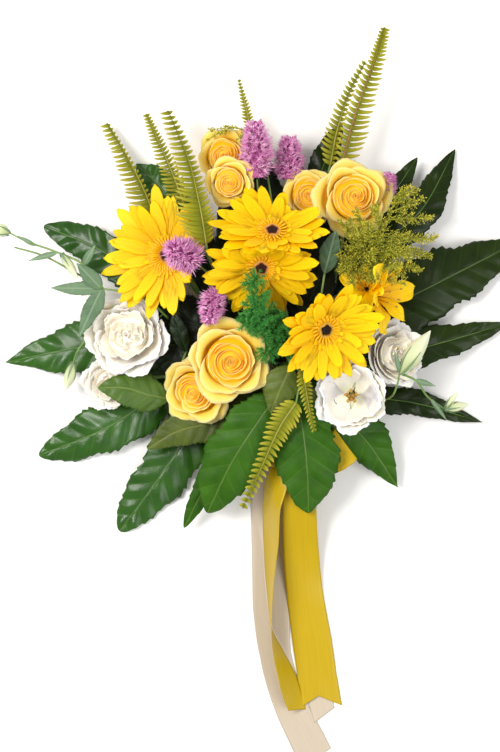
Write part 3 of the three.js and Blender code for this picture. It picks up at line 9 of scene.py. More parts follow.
import bmesh
import bpy
import numpy as np
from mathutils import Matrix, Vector

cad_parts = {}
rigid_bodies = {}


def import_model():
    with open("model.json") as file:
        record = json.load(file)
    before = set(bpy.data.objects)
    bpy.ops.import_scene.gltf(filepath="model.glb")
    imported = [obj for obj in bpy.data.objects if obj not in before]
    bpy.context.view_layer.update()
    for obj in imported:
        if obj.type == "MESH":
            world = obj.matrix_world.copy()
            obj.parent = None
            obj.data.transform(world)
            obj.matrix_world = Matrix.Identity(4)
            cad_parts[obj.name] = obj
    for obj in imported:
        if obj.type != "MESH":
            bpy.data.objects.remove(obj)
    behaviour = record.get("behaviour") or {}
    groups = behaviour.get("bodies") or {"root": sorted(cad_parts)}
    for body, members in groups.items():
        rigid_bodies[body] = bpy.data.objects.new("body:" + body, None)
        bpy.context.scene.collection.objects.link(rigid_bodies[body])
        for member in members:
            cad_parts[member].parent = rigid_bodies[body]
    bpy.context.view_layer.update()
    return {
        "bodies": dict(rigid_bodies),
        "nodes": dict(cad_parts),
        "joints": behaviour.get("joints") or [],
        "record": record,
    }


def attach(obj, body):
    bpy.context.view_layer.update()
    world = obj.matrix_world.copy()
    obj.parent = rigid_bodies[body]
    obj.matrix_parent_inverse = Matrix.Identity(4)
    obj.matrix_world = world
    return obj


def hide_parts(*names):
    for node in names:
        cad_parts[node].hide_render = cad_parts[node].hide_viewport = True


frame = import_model()

MM = 0.001
# Picture column and row that lie at x = 0, y = 0
CENTRE_COLUMN = 255
CENTRE_ROW = 400
# The tie that the stems run through, the cloth wrap round it and the bow's knot on top
TIE_COLUMN = 302
TIE_ROW = 445
TIE_HEIGHT = 19.5
WRAP_HALF_LENGTH = 14
WRAP_TOP = 2 * TIE_HEIGHT + 0.8
KNOT_ROW = 450
KNOT = WRAP_TOP + 2.4
# The cut stem ends lie below this y and keep their sharp edges
CUT_LINE = -88.0
# How far the points of a stem move out, which is what subdividing takes off
SWELL = 0.8
# Degrees from one bud or floret to the next on a sunflower spiral
GOLDEN_ANGLE = 137.508
# Spacing of the teeth and of the side veins on a big leaf
TOOTH = 8.5
VEINS = 19.0
# In metres: the camera's place, the height it is set for and what the picture's long side spans there
CAMERA_PLACE = (-0.005, 0.024, 3.06)
MIDDLE_HEIGHT = 0.06
PICTURE_LONG_SIDE = 0.752
ROOM_LIGHT = 0.55
# Name, place, aim and size in metres, power in watts and colour of each soft box
LAMPS = (
    ("window_light", (-1.1, 0.5, 2.0), (0, 0.05, 0.05), 0.9, 47, "#FFFDF8"),
    ("fill_light", (1.4, -0.7, 1.9), (0, 0, 0.05), 1.4, 27, "#FFFFFF"),
)


def at(column, row, z):
    """Picture column, row and height as a point."""
    return np.array([column - CENTRE_COLUMN, CENTRE_ROW - row, z], float)


def unit(a):
    """The same direction, one long."""
    a = np.asarray(a, float)
    return a / np.maximum(np.linalg.norm(a, axis=-1, keepdims=True), 1e-9)


def together(*parts):
    """Arrays whose shapes fit, side by side on a new last axis."""
    return np.stack(np.broadcast_arrays(*parts), axis=-1)


def around(angle, x, y):
    """The direction at each angle from x towards y."""
    return np.cos(angle)[..., None] * x + np.sin(angle)[..., None] * y


def chance(seed):
    """A value from 0 to 1 that looks random and is the same for the same seed."""
    s = math.sin(seed * 127.1 + 311.7) * 43758.5453
    return s - math.floor(s)


def blend(a, b, t):
    """a at t = 0, b at t = 1."""
    return a + (b - a) * t


def ease(t):
    """0 below 0, 1 above 1, and 3t^2 - 2t^3 between."""
    t = np.clip(t, 0, 1)
    return t * t * (3 - 2 * t)


def round_off(t, start, run, least):
    """1 up to start, then down a quarter circle over run: the square root, of least or more."""
    return np.sqrt(np.clip(1 - (np.maximum(t - start, 0) / run) ** 2, least, 1))


def along(points, t):
    """Points at the shares t of a smooth line through points: a Catmull-Rom cubic per stretch."""
    p = np.asarray(points, float)
    f = np.clip(np.atleast_1d(t), 0, 1) * (len(p) - 1)
    i = np.minimum(f.astype(int), len(p) - 2)
    k = (f - i)[:, None]
    full = np.vstack([2 * p[0] - p[1], p, 2 * p[-1] - p[-2]])
    a, b, c, d = full[i], full[i + 1], full[i + 2], full[i + 3]
    cubic = (3 * b - a - 3 * c + d) * k**3
    return 0.5 * (2 * b + (c - a) * k + (2 * a - 5 * b + 4 * c - d) * k**2 + cubic)


def heading(points, t):
    """Unit direction of travel at the shares t."""
    t = np.atleast_1d(t)
    return unit(along(points, t + 0.01) - along(points, t - 0.01))


def length(points):
    """Length of the smooth line through points."""
    line = along(points, np.linspace(0, 1, 60))
    return float(np.linalg.norm(np.diff(line, axis=0), axis=1).sum())


class Head:
    """A flower head: its centre and its right, up and facing directions."""

    def __init__(self, centre, facing):
        self.centre = np.asarray(centre, float)
        self.n = unit(facing)
        self.u = unit(np.cross([0.0, 1.0, 0.0], self.n))
        self.v = np.cross(self.n, self.u)

    def place(self, x, y, z):
        """Points at x to the right, y up and z out along the facing direction."""
        x, y, z = (np.asarray(c, float)[..., None] for c in np.broadcast_arrays(x, y, z))
        return self.centre + x * self.u + y * self.v + z * self.n

    def ring(self, out, angle, z):
        """Points at the distance out from the axis, at an angle round it and z along it."""
        return self.place(out * np.cos(angle), out * np.sin(angle), z)


class Skin:
    """Closed sheets and tubes gathered into one mesh, with a spot (two numbers) and a tone each."""

    def __init__(self):
        self.points = []
        self.faces = []
        self.finishes = []
        self.spots = []
        self.tones = []
        self.count = 0

    def add(self, points, faces, spots, tone, finish):
        """Points, index arrays of equal-sided faces, spots, tone and which material they take."""
        points = np.asarray(points, float).reshape(-1, 3)
        self.points.append(points)
        self.spots.append(np.asarray(spots, float).reshape(-1, 2))
        self.tones.append(np.broadcast_to(np.asarray(tone, float).ravel(), (len(points),)))
        for block in faces:
            self.faces.append(np.asarray(block, int) + self.count)
            self.finishes.append(np.full(len(block), finish))
        self.count += len(points)


def sheet(skin, grid, thickness, tone=0.5, spots=None, finish=0):
    """Closed thin sheet over a grid of points (rows, columns, 3).

    Both faces stand half a thickness off the grid along its normal, half of that at the rim, and a
    wall runs round the rim. Spots are -1 to 1 across and 0 to 1 along unless they are given.
    """
    rows, columns = grid.shape[:2]
    normal = unit(np.cross(np.gradient(grid, axis=0), np.gradient(grid, axis=1)))
    half = np.full((rows, columns, 1), thickness / 2)
    half[0], half[-1], half[:, 0], half[:, -1] = (thickness / 4,) * 4
    points = np.concatenate([grid + normal * half, grid - normal * half])
    if spots is None:
        spots = together(np.linspace(-1, 1, columns), np.linspace(0, 1, rows)[:, None])
    spots = np.asarray(spots).reshape(-1, 2)
    index = np.arange(rows * columns).reshape(rows, columns)
    under = index + rows * columns
    a, b, c, d = index[:-1, :-1], index[:-1, 1:], index[1:, 1:], index[1:, :-1]
    faces = [np.stack([a, d, c, b], axis=-1).reshape(-1, 4)]
    faces.append(np.stack([a, b, c, d], axis=-1).reshape(-1, 4) + rows * columns)
    for near, far in ((index[0], under[0]), (index[-1][::-1], under[-1][::-1]),
                      (index[:, 0][::-1], under[:, 0][::-1]), (index[:, -1], under[:, -1])):
        faces.append(np.stack([near[:-1], near[1:], far[1:], far[:-1]], axis=-1))
    if np.ndim(tone):
        tone = np.concatenate([np.ravel(tone)] * 2)
    skin.add(points, faces, np.concatenate([spots, spots]), tone, finish)


def tube(skin, line, radii, sides=6, tone=0.5, finish=0):
    """Round tube: rings of radius radii square to the line, closed by a point at each end."""
    line = np.asarray(line, float)
    n = len(line)
    way = unit(np.gradient(line, axis=0))
    start = np.eye(3)[np.argmin(np.abs(way.mean(axis=0)))]
    across = unit(start - way * (way @ start)[:, None])
    other = np.cross(way, across)
    angle = np.linspace(0, 2 * math.pi, sides, endpoint=False)
    radii = np.broadcast_to(np.asarray(radii, float), (n,))[:, None, None]
    ring = around(angle, across[:, None], other[:, None])
    points = (line[:, None] + ring * radii).reshape(-1, 3)
    index = np.arange(n * sides).reshape(n, sides)
    turn = np.roll(index, -1, axis=1)
    body = np.stack([index[:-1], turn[:-1], turn[1:], index[1:]], axis=-1).reshape(-1, 4)
    first, last = n * sides, n * sides + 1
    foot = np.stack([turn[0], index[0], np.full(sides, first)], axis=-1)
    top = np.stack([index[-1], turn[-1], np.full(sides, last)], axis=-1)
    t = np.repeat(np.linspace(0, 1, n), sides)
    spots = np.column_stack([np.tile(angle / math.pi - 1, n), t])
    spots = np.vstack([spots, [[0, 0], [0, 1]]])
    if np.ndim(tone):
        tone = np.concatenate([np.repeat(tone, sides), [tone[0], tone[-1]]])
    skin.add(np.vstack([points, line[:1], line[-1:]]), [body, foot, top], spots, tone, finish)


def strand(skin, points, count, thick, thin, sides, tone, finish=0):
    """A tube along the smooth line through points, that goes from thick to thin."""
    line = along(points, np.linspace(0, 1, count))
    tube(skin, line, np.linspace(thick, thin, count), sides, tone, finish)


def beads(skin, centres, radius, tone=0.5, finish=0, stretch=None):
    """Eight-faced grains of the given radius at every centre, longer along stretch if given."""
    centres = np.asarray(centres, float).reshape(-1, 3)
    corners = np.vstack([np.eye(3), -np.eye(3)])
    offsets = corners[None] * np.broadcast_to(np.asarray(radius, float), (len(centres),))[:, None, None]
    if stretch is not None:
        lean = np.einsum("ijk,ik->ij", offsets, unit(stretch))
        offsets = offsets + lean[..., None] * unit(stretch)[:, None]
    points = (centres[:, None] + offsets).reshape(-1, 3)
    cell = np.array([[0, 1, 2], [1, 3, 2], [3, 4, 2], [4, 0, 2], [1, 0, 5], [3, 1, 5], [4, 3, 5], [0, 4, 5]])
    faces = (cell[None] + 6 * np.arange(len(centres))[:, None, None]).reshape(-1, 3)
    if np.ndim(tone):
        tone = np.repeat(tone, 6)
    skin.add(points, [faces], np.zeros((len(points), 2)), tone, finish)


def spines(skin, roots, tips, width, tone=0.5, finish=0, bow=0.0):
    """Thin three-sided needles from roots to tips, bowed sideways by a share of their length.

    A needle has a ring at its root and one past its middle, and ends in a point.
    """
    roots = np.asarray(roots, float)
    tips = np.asarray(tips, float)
    way = tips - roots
    reach = np.linalg.norm(way, axis=1, keepdims=True)
    way = unit(way)
    guide = np.where(np.abs(way[:, 2:]) < 0.9, [[0.0, 0.0, 1.0]], [[1.0, 0.0, 0.0]])
    x = unit(np.cross(way, guide))
    y = np.cross(way, x)
    angle = np.array([0, 2, 4]) * math.pi / 3
    ring = around(angle, x[:, None], y[:, None])
    middle = roots + way * reach * 0.55 + y * reach * bow
    width = np.broadcast_to(np.asarray(width, float), (len(roots),))[:, None, None]
    points = np.concatenate(
        [roots[:, None] + ring * width, middle[:, None] + ring * width * 0.75, tips[:, None]], axis=1
    )
    step = 7 * np.arange(len(roots))[:, None, None]
    quads = np.array([[0, 1, 4, 3], [1, 2, 5, 4], [2, 0, 3, 5]])
    ends = np.array([[0, 2, 1], [3, 4, 6], [4, 5, 6], [5, 3, 6]])
    share = np.tile([0, 0, 0, 0.55, 0.55, 0.55, 1], len(roots))
    if np.ndim(tone):
        tone = np.repeat(tone, 7)
    spots = np.column_stack([np.zeros_like(share), share])
    faces = [(quads + step).reshape(-1, 4), (ends + step).reshape(-1, 3)]
    skin.add(points.reshape(-1, 3), faces, spots, tone, finish)


def make_piece(name, skin, materials, node):
    """A smooth-shaded object at the origin, made of a skin."""
    mesh = bpy.data.meshes.new(name)
    points = np.concatenate(skin.points) * MM
    corners = np.concatenate([block.ravel() for block in skin.faces])
    sides = np.concatenate([np.full(len(block), block.shape[1]) for block in skin.faces])
    mesh.vertices.add(len(points))
    mesh.vertices.foreach_set("co", points.ravel())
    mesh.loops.add(len(corners))
    mesh.loops.foreach_set("vertex_index", corners)
    mesh.polygons.add(len(sides))
    mesh.polygons.foreach_set("loop_start", np.concatenate([[0], np.cumsum(sides)[:-1]]))
    mesh.polygons.foreach_set("material_index", np.concatenate(skin.finishes))
    mesh.polygons.foreach_set("use_smooth", np.ones(len(sides), bool))
    surface = mesh.uv_layers.new(name="surface")
    surface.data.foreach_set("uv", np.concatenate(skin.spots)[corners].ravel())
    tone = mesh.attributes.new("tone", "FLOAT", "POINT")
    tone.data.foreach_set("value", np.concatenate(skin.tones))
    mesh.update(calc_edges=True)
    mesh.validate()
    for material in materials:
        mesh.materials.append(material)
    piece = bpy.data.objects.new(name, mesh)
    bpy.context.scene.collection.objects.link(piece)
    return dress(piece, node)


def dress(piece, node):
    """Puts the piece on the one body and hides the solid it stands for, if there is one."""
    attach(piece, "root")
    if node:
        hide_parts(node)
    return piece


def stalk(base, node, green, gone=(), palm=None):
    """Stems, cups and stalks: the solid's own form, welded, grown a little and subdivided.

    Triangles near the lines in gone are left out, because finer leaves or blooms take their place.
    Each line is (points, reach): a triangle goes when its middle is nearer than reach to the line,
    past its first point. The palm of a leaf is a centre and a radius, and what is within it goes.
    Points move out along their normals, and the edges of the cut ends stay sharp.
    """
    mesh = frame["nodes"][node].data.copy()
    mesh.name = f"{base}_stem_fine"
    mesh.materials.clear()
    shape = bmesh.new()
    shape.from_mesh(mesh)
    bmesh.ops.remove_doubles(shape, verts=shape.verts, dist=1e-6)
    middles = np.array([face.calc_center_median() for face in shape.faces]) / MM
    lost = np.zeros(len(middles), bool)
    for points, reach in gone:
        line = along(points, np.linspace(0, 1, 60))
        apart = np.linalg.norm(middles[:, None] - line[None], axis=2)
        lost |= (apart.min(axis=1) < reach) & (apart.argmin(axis=1) > 0)
    if palm is not None:
        lost |= np.linalg.norm(middles - palm[0], axis=1) < palm[1]
    shape.faces.ensure_lookup_table()
    bmesh.ops.delete(shape, geom=[shape.faces[int(i)] for i in np.flatnonzero(lost)], context="FACES")
    bmesh.ops.holes_fill(shape, edges=[edge for edge in shape.edges if edge.is_boundary])
    bmesh.ops.join_triangles(
        shape, faces=shape.faces, angle_face_threshold=0.35, angle_shape_threshold=1.0,
        cmp_seam=False, cmp_sharp=False, cmp_uvs=False, cmp_vcols=False, cmp_materials=False,
    )
    bmesh.ops.recalc_face_normals(shape, faces=shape.faces)
    crease = shape.edges.layers.float.new("crease_edge")
    for edge in shape.edges:
        if all(corner.co.y < CUT_LINE * MM for corner in edge.verts):
            edge[crease] = 1.0
    for corner in shape.verts:
        if corner.co.y > CUT_LINE * MM:
            corner.co += corner.normal * SWELL * MM
    shape.to_mesh(mesh)
    shape.free()
    mesh.polygons.foreach_set("use_smooth", np.ones(len(mesh.polygons), bool))
    mesh.materials.append(green)
    piece = bpy.data.objects.new(mesh.name, mesh)
    bpy.context.scene.collection.objects.link(piece)
    smooth = piece.modifiers.new("round", "SUBSURF")
    smooth.levels = smooth.render_levels = 2
    return dress(piece, node)


# Finishes


def hue(code):
    """Linear colour of an sRGB hex value."""
    part = np.array([int(code[i:i + 2], 16) for i in (1, 3, 5)]) / 255
    linear = np.where(part <= 0.04045, part / 12.92, ((part + 0.055) / 1.055) ** 2.4)
    return (*linear.tolist(), 1.0)


def add(tree, kind, links=None, stops=None, **settings):
    """One node: its settings, its ramp stops, and what each of its sockets gets.

    A socket gets a value or another node's output. A node stands for its own first output.
    """
    made = tree.nodes.new("ShaderNode" + kind)
    for key, value in settings.items():
        setattr(made, key, value)
    for key, value in (links or {}).items():
        if isinstance(value, bpy.types.Node):
            value = value.outputs[0]
        if isinstance(value, bpy.types.NodeSocket):
            tree.links.new(value, made.inputs[key])
        else:
            made.inputs[key].default_value = value
    if stops:
        ramp = made.color_ramp
        while len(ramp.elements) < len(stops):
            ramp.elements.new(0.5)
        for element, (place, code) in zip(ramp.elements, stops):
            element.position = place
            element.color = hue(code)
    return made


def material(name, paint, roughness, bump, depth, shine=0.5, **sockets):
    """A material whose paint function returns the colour and a height from 0 to 1.

    Depth is the height of the relief in metres and bump how strongly it shows. Shine is the
    strength of the mirror reflection, where 0.5 is what the IOR alone gives.
    """
    made = bpy.data.materials.new(name)
    made.use_nodes = True
    tree = made.node_tree
    tree.nodes.clear()
    colour, height = paint(tree)
    relief = add(tree, "Bump", {"Strength": bump, "Distance": depth, "Height": height})
    links = {"Base Color": colour, "Roughness": roughness, "Normal": relief, "Specular IOR Level": shine}
    shader = add(tree, "BsdfPrincipled", {**links, **sockets})
    add(tree, "OutputMaterial", {"Surface": shader})
    return made


def own_map(tree):
    """What each point of a mesh carries: how far across it lies, how far along, and its tone."""
    spot = add(tree, "SeparateXYZ", {0: add(tree, "UVMap", uv_map="surface")})
    tone = add(tree, "Attribute", attribute_name="tone")
    return spot.outputs["X"], spot.outputs["Y"], tone.outputs["Fac"]


def petal(name, stops, roughness, lines, shade, glow, tint=None):
    """Petal skin: colour by the share from base to rim, fine lines along it, tone from petal to petal.

    The lines are noise stretched along the petal: `lines` of them cross half its width, and they
    darken it by up to shade. Tone also draws the colour towards tint, if one is given. Glow is the share
    of light that spreads inside the thin petal.
    """
    def paint(tree):
        across, outward, tone = own_map(tree)
        ramp = add(tree, "ValToRGB", {0: outward}, stops)
        lanes = add(tree, "Math", {0: across, 1: float(lines)}, operation="MULTIPLY")
        twist = add(tree, "Math", {0: tone, 1: 37.0}, operation="MULTIPLY")
        place = add(tree, "CombineXYZ", {0: lanes, 1: outward, 2: twist})
        grain = add(tree, "TexNoise", {"Vector": place, "Scale": 1.0, "Detail": 3.0})
        value = add(tree, "MapRange", {0: grain, 1: 0.3, 2: 0.7, 3: 1.0 - shade, 4: 1.0 + shade * 0.4})
        bright = add(tree, "MapRange", {0: tone, 1: 0.0, 2: 1.0, 3: 0.9, 4: 1.05})
        both = add(tree, "Math", {0: value, 1: bright}, operation="MULTIPLY")
        share = add(tree, "Math", {0: tone, 1: 0.8 if tint else 0.0}, operation="MULTIPLY")
        warm = add(tree, "Mix", {0: share, 6: ramp, 7: hue(tint or stops[-1][1])}, data_type="RGBA")
        return add(tree, "HueSaturation", {"Value": both, "Color": warm.outputs[2]}), grain

    sockets = {"Subsurface Weight": glow, "Subsurface Scale": 0.5,
               "Subsurface Radius": (0.004, 0.003, 0.0012)}
    return material(name, paint, roughness, 0.35, 0.0003, 0.15, **sockets)


def leaf(name, dark, bright, vein, spacing, slant, roughness, strength, net, shine):
    """Leaf skin on a map in millimetres: across from the midrib, and along it.

    Side veins leave the midrib every `spacing` millimetres and run forward by `slant` millimetres
    per millimetre across, coloured by strength. Between them the blade swells a little, with a fine
    net, 2 mm wide and raised by net, and a soft mottling of 17 mm.
    """
    def paint(tree):
        across, forward, tone = own_map(tree)
        off = add(tree, "Math", {0: across}, operation="ABSOLUTE")
        back = add(tree, "Math", {0: off, 1: -slant, 2: forward}, operation="MULTIPLY_ADD")
        count = add(tree, "Math", {0: back, 1: spacing / 2}, operation="DIVIDE")
        wave = add(tree, "Math", {0: count, 1: 1.0}, operation="PINGPONG")
        side = add(tree, "MapRange", {0: wave, 1: 0.0, 2: 0.13, 3: 1.0, 4: 0.0})
        rib = add(tree, "MapRange", {0: off, 1: 0.5, 2: 1.3, 3: 1.0, 4: 0.0})
        veins = add(tree, "Math", {0: side, 1: 0.45}, operation="MULTIPLY")
        both = add(tree, "Math", {0: veins, 1: rib}, operation="MAXIMUM")
        place = add(tree, "TexCoord").outputs["Object"]
        mottle = add(tree, "TexNoise", {"Vector": place, "Scale": 60.0, "Detail": 4.0})
        cells = add(tree, "TexVoronoi", {"Vector": place, "Scale": 520.0}, feature="DISTANCE_TO_EDGE")
        mixed = add(tree, "Math", {0: mottle, 1: tone}, operation="ADD")
        level = add(tree, "MapRange", {0: mixed, 1: 0.55, 2: 1.45})
        blade = add(tree, "Mix", {0: level, 6: hue(dark), 7: hue(bright)}, data_type="RGBA")
        share = add(tree, "Math", {0: both, 1: strength}, operation="MULTIPLY")
        colour = add(tree, "Mix", {0: share, 6: blade.outputs[2], 7: hue(vein)}, data_type="RGBA")
        netting = add(tree, "MapRange", {0: cells, 1: 0.0, 2: 0.12, 3: 0.0, 4: net})
        raised = add(tree, "Math", {0: wave, 1: 0.5, 2: netting}, operation="MULTIPLY_ADD")
        return colour.outputs[2], add(tree, "Math", {0: raised, 1: rib}, operation="SUBTRACT")

    return material(name, paint, roughness, 0.6, 0.0006, shine)


def bits(name, stops, roughness):
    """Small flower parts: the tone picks the colour, and a fine grain of 1 mm breaks it up."""
    def paint(tree):
        place = add(tree, "TexCoord").outputs["Object"]
        tone = add(tree, "Attribute", attribute_name="tone").outputs["Fac"]
        noise = add(tree, "TexNoise", {"Vector": place, "Scale": 900.0, "Detail": 2.0})
        mixed = add(tree, "Math", {0: noise, 1: 0.5, 2: tone}, operation="MULTIPLY_ADD")
        level = add(tree, "MapRange", {0: mixed, 1: 0.2, 2: 1.3})
        return add(tree, "ValToRGB", {0: level}, stops), noise

    return material(name, paint, roughness, 0.3, 0.0002)


def stem(name, stops, roughness):
    """Stem skin: a colour that shifts every 30 mm or so, with ridges 1.4 mm apart along the bunch."""
    def paint(tree):
        place = add(tree, "TexCoord").outputs["Object"]
        stretched = add(tree, "Mapping", {0: place, "Scale": (700.0, 60.0, 700.0)})
        ridges = add(tree, "TexNoise", {"Vector": stretched, "Scale": 1.0, "Detail": 3.0})
        drift = add(tree, "TexNoise", {"Vector": place, "Scale": 35.0})
        mixed = add(tree, "Mix", {0: 0.4, 2: drift, 3: ridges})
        return add(tree, "ValToRGB", {0: mixed}, stops), ridges

    return material(name, paint, roughness, 0.4, 0.0003)


def satin(name, base, bright, thread, roughness, shine=0.5):
    """Woven satin on a map in millimetres: warp threads along the ribbon, and faint long streaks.

    A streak is about 0.6 mm wide and 50 mm long. Real threads are 0.1 mm apart. They are drawn
    `thread` millimetres apart, so that they show.
    """
    def paint(tree):
        across, forward, tone = own_map(tree)
        turn = add(tree, "Math", {0: across, 1: 2 * math.pi / thread}, operation="MULTIPLY")
        warp = add(tree, "Math", {0: turn}, operation="SINE")
        place = add(tree, "CombineXYZ", {0: across, 1: forward, 2: tone})
        stretched = add(tree, "Mapping", {0: place, "Scale": (1.6, 0.02, 3.0)})
        streak = add(tree, "TexNoise", {"Vector": stretched, "Scale": 1.0, "Detail": 4.0})
        share = add(tree, "Math", {0: warp, 1: 0.06, 2: streak}, operation="MULTIPLY_ADD")
        colour = add(tree, "Mix", {0: share, 6: hue(base), 7: hue(bright)}, data_type="RGBA")
        return colour.outputs[2], warp

    return material(name, paint, roughness, 0.15, 0.0001, shine)


def paper():
    """Matt paper: one pale colour that scatters light evenly, with a faint mottling of 25 mm."""
    def paint(tree):
        place = add(tree, "TexCoord").outputs["Object"]
        noise = add(tree, "TexNoise", {"Vector": place, "Scale": 40.0, "Detail": 3.0})
        value = add(tree, "MapRange", {0: noise, 1: 0.3, 2: 0.7, 3: 0.99, 4: 1.01})
        return add(tree, "HueSaturation", {"Value": value, "Color": hue("#FBFAF8")}), noise

    return material("matt_paper", paint, 0.9, 0.2, 0.0003)


# Flowers

# Centre, facing, radius, lift, swing, side it leans from, shortening there and turn of each head,
# then the side where a rose presses its petals back, and by how much
GERBERAS = {
    "left": (at(168, 256, 75), (-0.22, 0.02, 0.97), 70, 9, -3, -15, 0.55, 8, 0, 0),
    "upper": (at(272, 236, 101), (0, 0.62, 0.78), 65, 17, 5, -90, 0.42, 4, 52, 0.4),
    "middle": (at(261, 267, 90), (0.02, -0.4, 0.92), 63, 15, 19, 90, 0.5, 11, 0, 0),
    "lower": (at(323, 329, 98), (0.36, -0.3, 0.88), 61, 20, 2, 125, 0.3, 0, 0, 0),
}
# Petals, height, share of the reach, half width, extra rise, curl and share of a step turned
GERBERA_WHORLS = (
    (19, 0.2, 1.0, 7.8, -2, -5, 0.0),
    (17, 1.2, 0.92, 7.2, 0, -3, 0.5),
    (10, 2.0, 0.8, 6.6, 0, -2, 0.25),
    (30, 2.3, 0.37, 2.2, 3, 0, 0.1),
)
FLORET_LEVEL = 3.3
EYE_RADIUS = 7.4
DARK_RADIUS = {"left": 5.2, "upper": 5.2, "middle": 5.2, "lower": 3.7}


def ray(frame, skin, phi, start, reach, half, rise, curl, level, tone, blunt=0.2, taper=0.0, ruffle=0.0,
        groove=0.4, thickness=0.45, rows=16, columns=9, finish=0, notch=0.0):
    """A petal that runs outward from the head at the angle phi.

    It climbs at rise degrees, plus curl degrees by its tip. Its half width grows from 0.35 to 1 of
    `half` over the first 0.6, then closes as a quarter circle over the last `blunt`. Two shallow
    channels run along it, and ruffle lifts the sides in waves. Its tip ends in three soft teeth, as
    deep as notch.
    """
    t = np.linspace(0, 1, rows)[:, None]
    s = np.linspace(-1, 1, columns)[None, :]
    slope = np.radians(rise + curl * t)
    step = (reach - start) / (rows - 1)
    run = start + np.cumsum(np.cos(slope), axis=0) * step - np.cos(slope[0]) * step
    up = level + np.cumsum(np.sin(slope), axis=0) * step
    close = round_off(t, 1 - blunt, blunt * 1.01, 0.01) * (1 - taper * ease((t - 0.4) / 0.6))
    wide = half * (0.35 + 0.65 * ease(t / 0.5)) * close
    lift = groove * (0.5 - 0.5 * np.cos(2 * math.pi * np.abs(s) ** 0.8)) * ease(t * 4) * close
    lift = lift + ruffle * np.sin(3.3 * math.pi * t + 40 * tone + 1.4 * s) * np.abs(s) ** 2 * ease(t * 2)
    run = run - notch * t**10 * (0.5 - 0.5 * np.cos(3 * math.pi * s))
    phi = math.radians(phi)
    x = run * math.cos(phi) - s * wide * math.sin(phi)
    y = run * math.sin(phi) + s * wide * math.cos(phi)
    sheet(skin, frame.place(x, y, up - lift + 0.035 * half * s**2), thickness, tone, finish=finish)


def gerbera_petals(name, data, materials):
    """Three whorls of long ray petals, one of short ones, and the florets round the eye.

    Towards the side `far` the petals stand up by `swing` more and look shorter, by the square of
    the cosine of the angle to it.
    """
    centre, facing, radius, lift, swing, far, shrink, turn, pressed, back = data
    frame = Head(centre, facing)
    skin = Skin()
    for order, (count, level, scale, half, lean, curl, shift) in enumerate(GERBERA_WHORLS):
        for k in range(count):
            seed = 31 * order + k + len(name)
            phi = turn + 360 * (k + shift + 0.5 * (chance(seed + 5) - 0.5)) / count
            near = math.cos(math.radians(phi - far))
            reach = radius * scale * (1 - shrink * max(0.0, near) ** 2) * (0.84 + 0.2 * chance(seed + 9))
            reach *= 1 - back * max(0.0, math.cos(math.radians(phi - pressed))) ** 6
            rise = lift + lean + swing * near + 8 * (chance(seed) - 0.5)
            ray(frame, skin, phi, 7, reach, half * (0.84 + 0.26 * chance(seed + 2)), rise,
                curl + 16 * (chance(seed + 3) - 0.5), level + 0.5 * (k % 2), chance(seed + 7), blunt=0.3,
                taper=0.24, groove=0.5, notch=1.0)
    fluffy = name == "left"
    florets = 96 if fluffy else 60
    for k in range(florets):
        seed = 200 + k
        ring = k % 3
        phi = turn + 360 * (k + 0.5 * chance(seed)) / florets
        reach = (15 + 2.6 * ring if fluffy else 13.5 + 1.6 * ring) + 2 * chance(seed + 1)
        ray(frame, skin, phi, EYE_RADIUS - 2, reach, 0.85, 40 - 9 * ring, -30,
            FLORET_LEVEL + 0.9 - 0.3 * ring, chance(seed + 4), groove=0.15, thickness=0.4, rows=6,
            columns=3, finish=1)
    make_piece(f"gerbera_{name}_petals_fine", skin, materials, f"gerbera_{name}_petals")


def gerbera_eye(name, data, materials):
    """The disc: a low dome with buds on a sunflower spiral, each 137.5 degrees on from the last.

    The outer buds are open, with pale tips.
    """
    frame = Head(data[0], data[1])
    skin = Skin()
    n = 150
    k = np.arange(n)
    dark = DARK_RADIUS[name]
    out = dark * np.sqrt((k + 0.5) / n)
    phi = np.radians(GOLDEN_ANGLE * k)
    base = FLORET_LEVEL + 1.45
    up = base + 2.6 * (1 - (out / (EYE_RADIUS * 1.15)) ** 2)
    dome = np.linspace(1, 0, 9)[:, None] * math.pi / 2
    rim = (dark + 0.6) * np.sin(dome) ** 0.8
    grid = frame.ring(rim, np.linspace(0, 2 * math.pi, 37), base - 0.6 + 2.8 * np.cos(dome))
    sheet(skin, grid[:, ::-1], 0.5, 0.1)
    spots = frame.ring(out, phi, up)
    lean = frame.ring(out * 1.3, phi, up + 9) - spots
    tones = 0.12 + 0.2 * (out / dark) ** 2 + 0.1 * np.sin(k * 7.0)
    beads(skin, spots, 0.36 + 0.2 * out / dark, tones, 0, lean)
    buds = 44
    for level, far, tone in ((2.2, 0.8, 0.75), (1.9, 0.95, 0.92), (1.4, 1.12, 1.0)):
        phi = np.radians(np.arange(buds) * 360 / buds + 4 * level)
        wide = EYE_RADIUS * far + 0.5 * np.sin(5 * phi)
        tips = frame.ring(wide, phi, base + level)
        spines(skin, frame.ring(wide * 0.86, phi, base - 0.6), tips, 0.5, 0.7)
        beads(skin, tips, 0.72, tone)
    make_piece(f"gerbera_{name}_eye_fine", skin, materials, f"gerbera_{name}_eye")


ROSES = {
    "far_left": (at(224, 154, 46), (-0.15, 0.12, 0.98), 25),
    "mid_left": (at(229, 184, 75), (-0.1, -0.2, 0.97), 21),
    "far_right": (at(309, 194, 56), (-0.12, 0.1, 0.98), 25),
    "big_right": (at(355, 197, 78), (0.12, 0.1, 0.98), 33),
    "big_front": (at(231, 362, 90), (0.1, -0.1, 0.99), 35),
    "low_front": (at(193, 394, 60), (-0.3, -0.3, 0.9), 30),
}
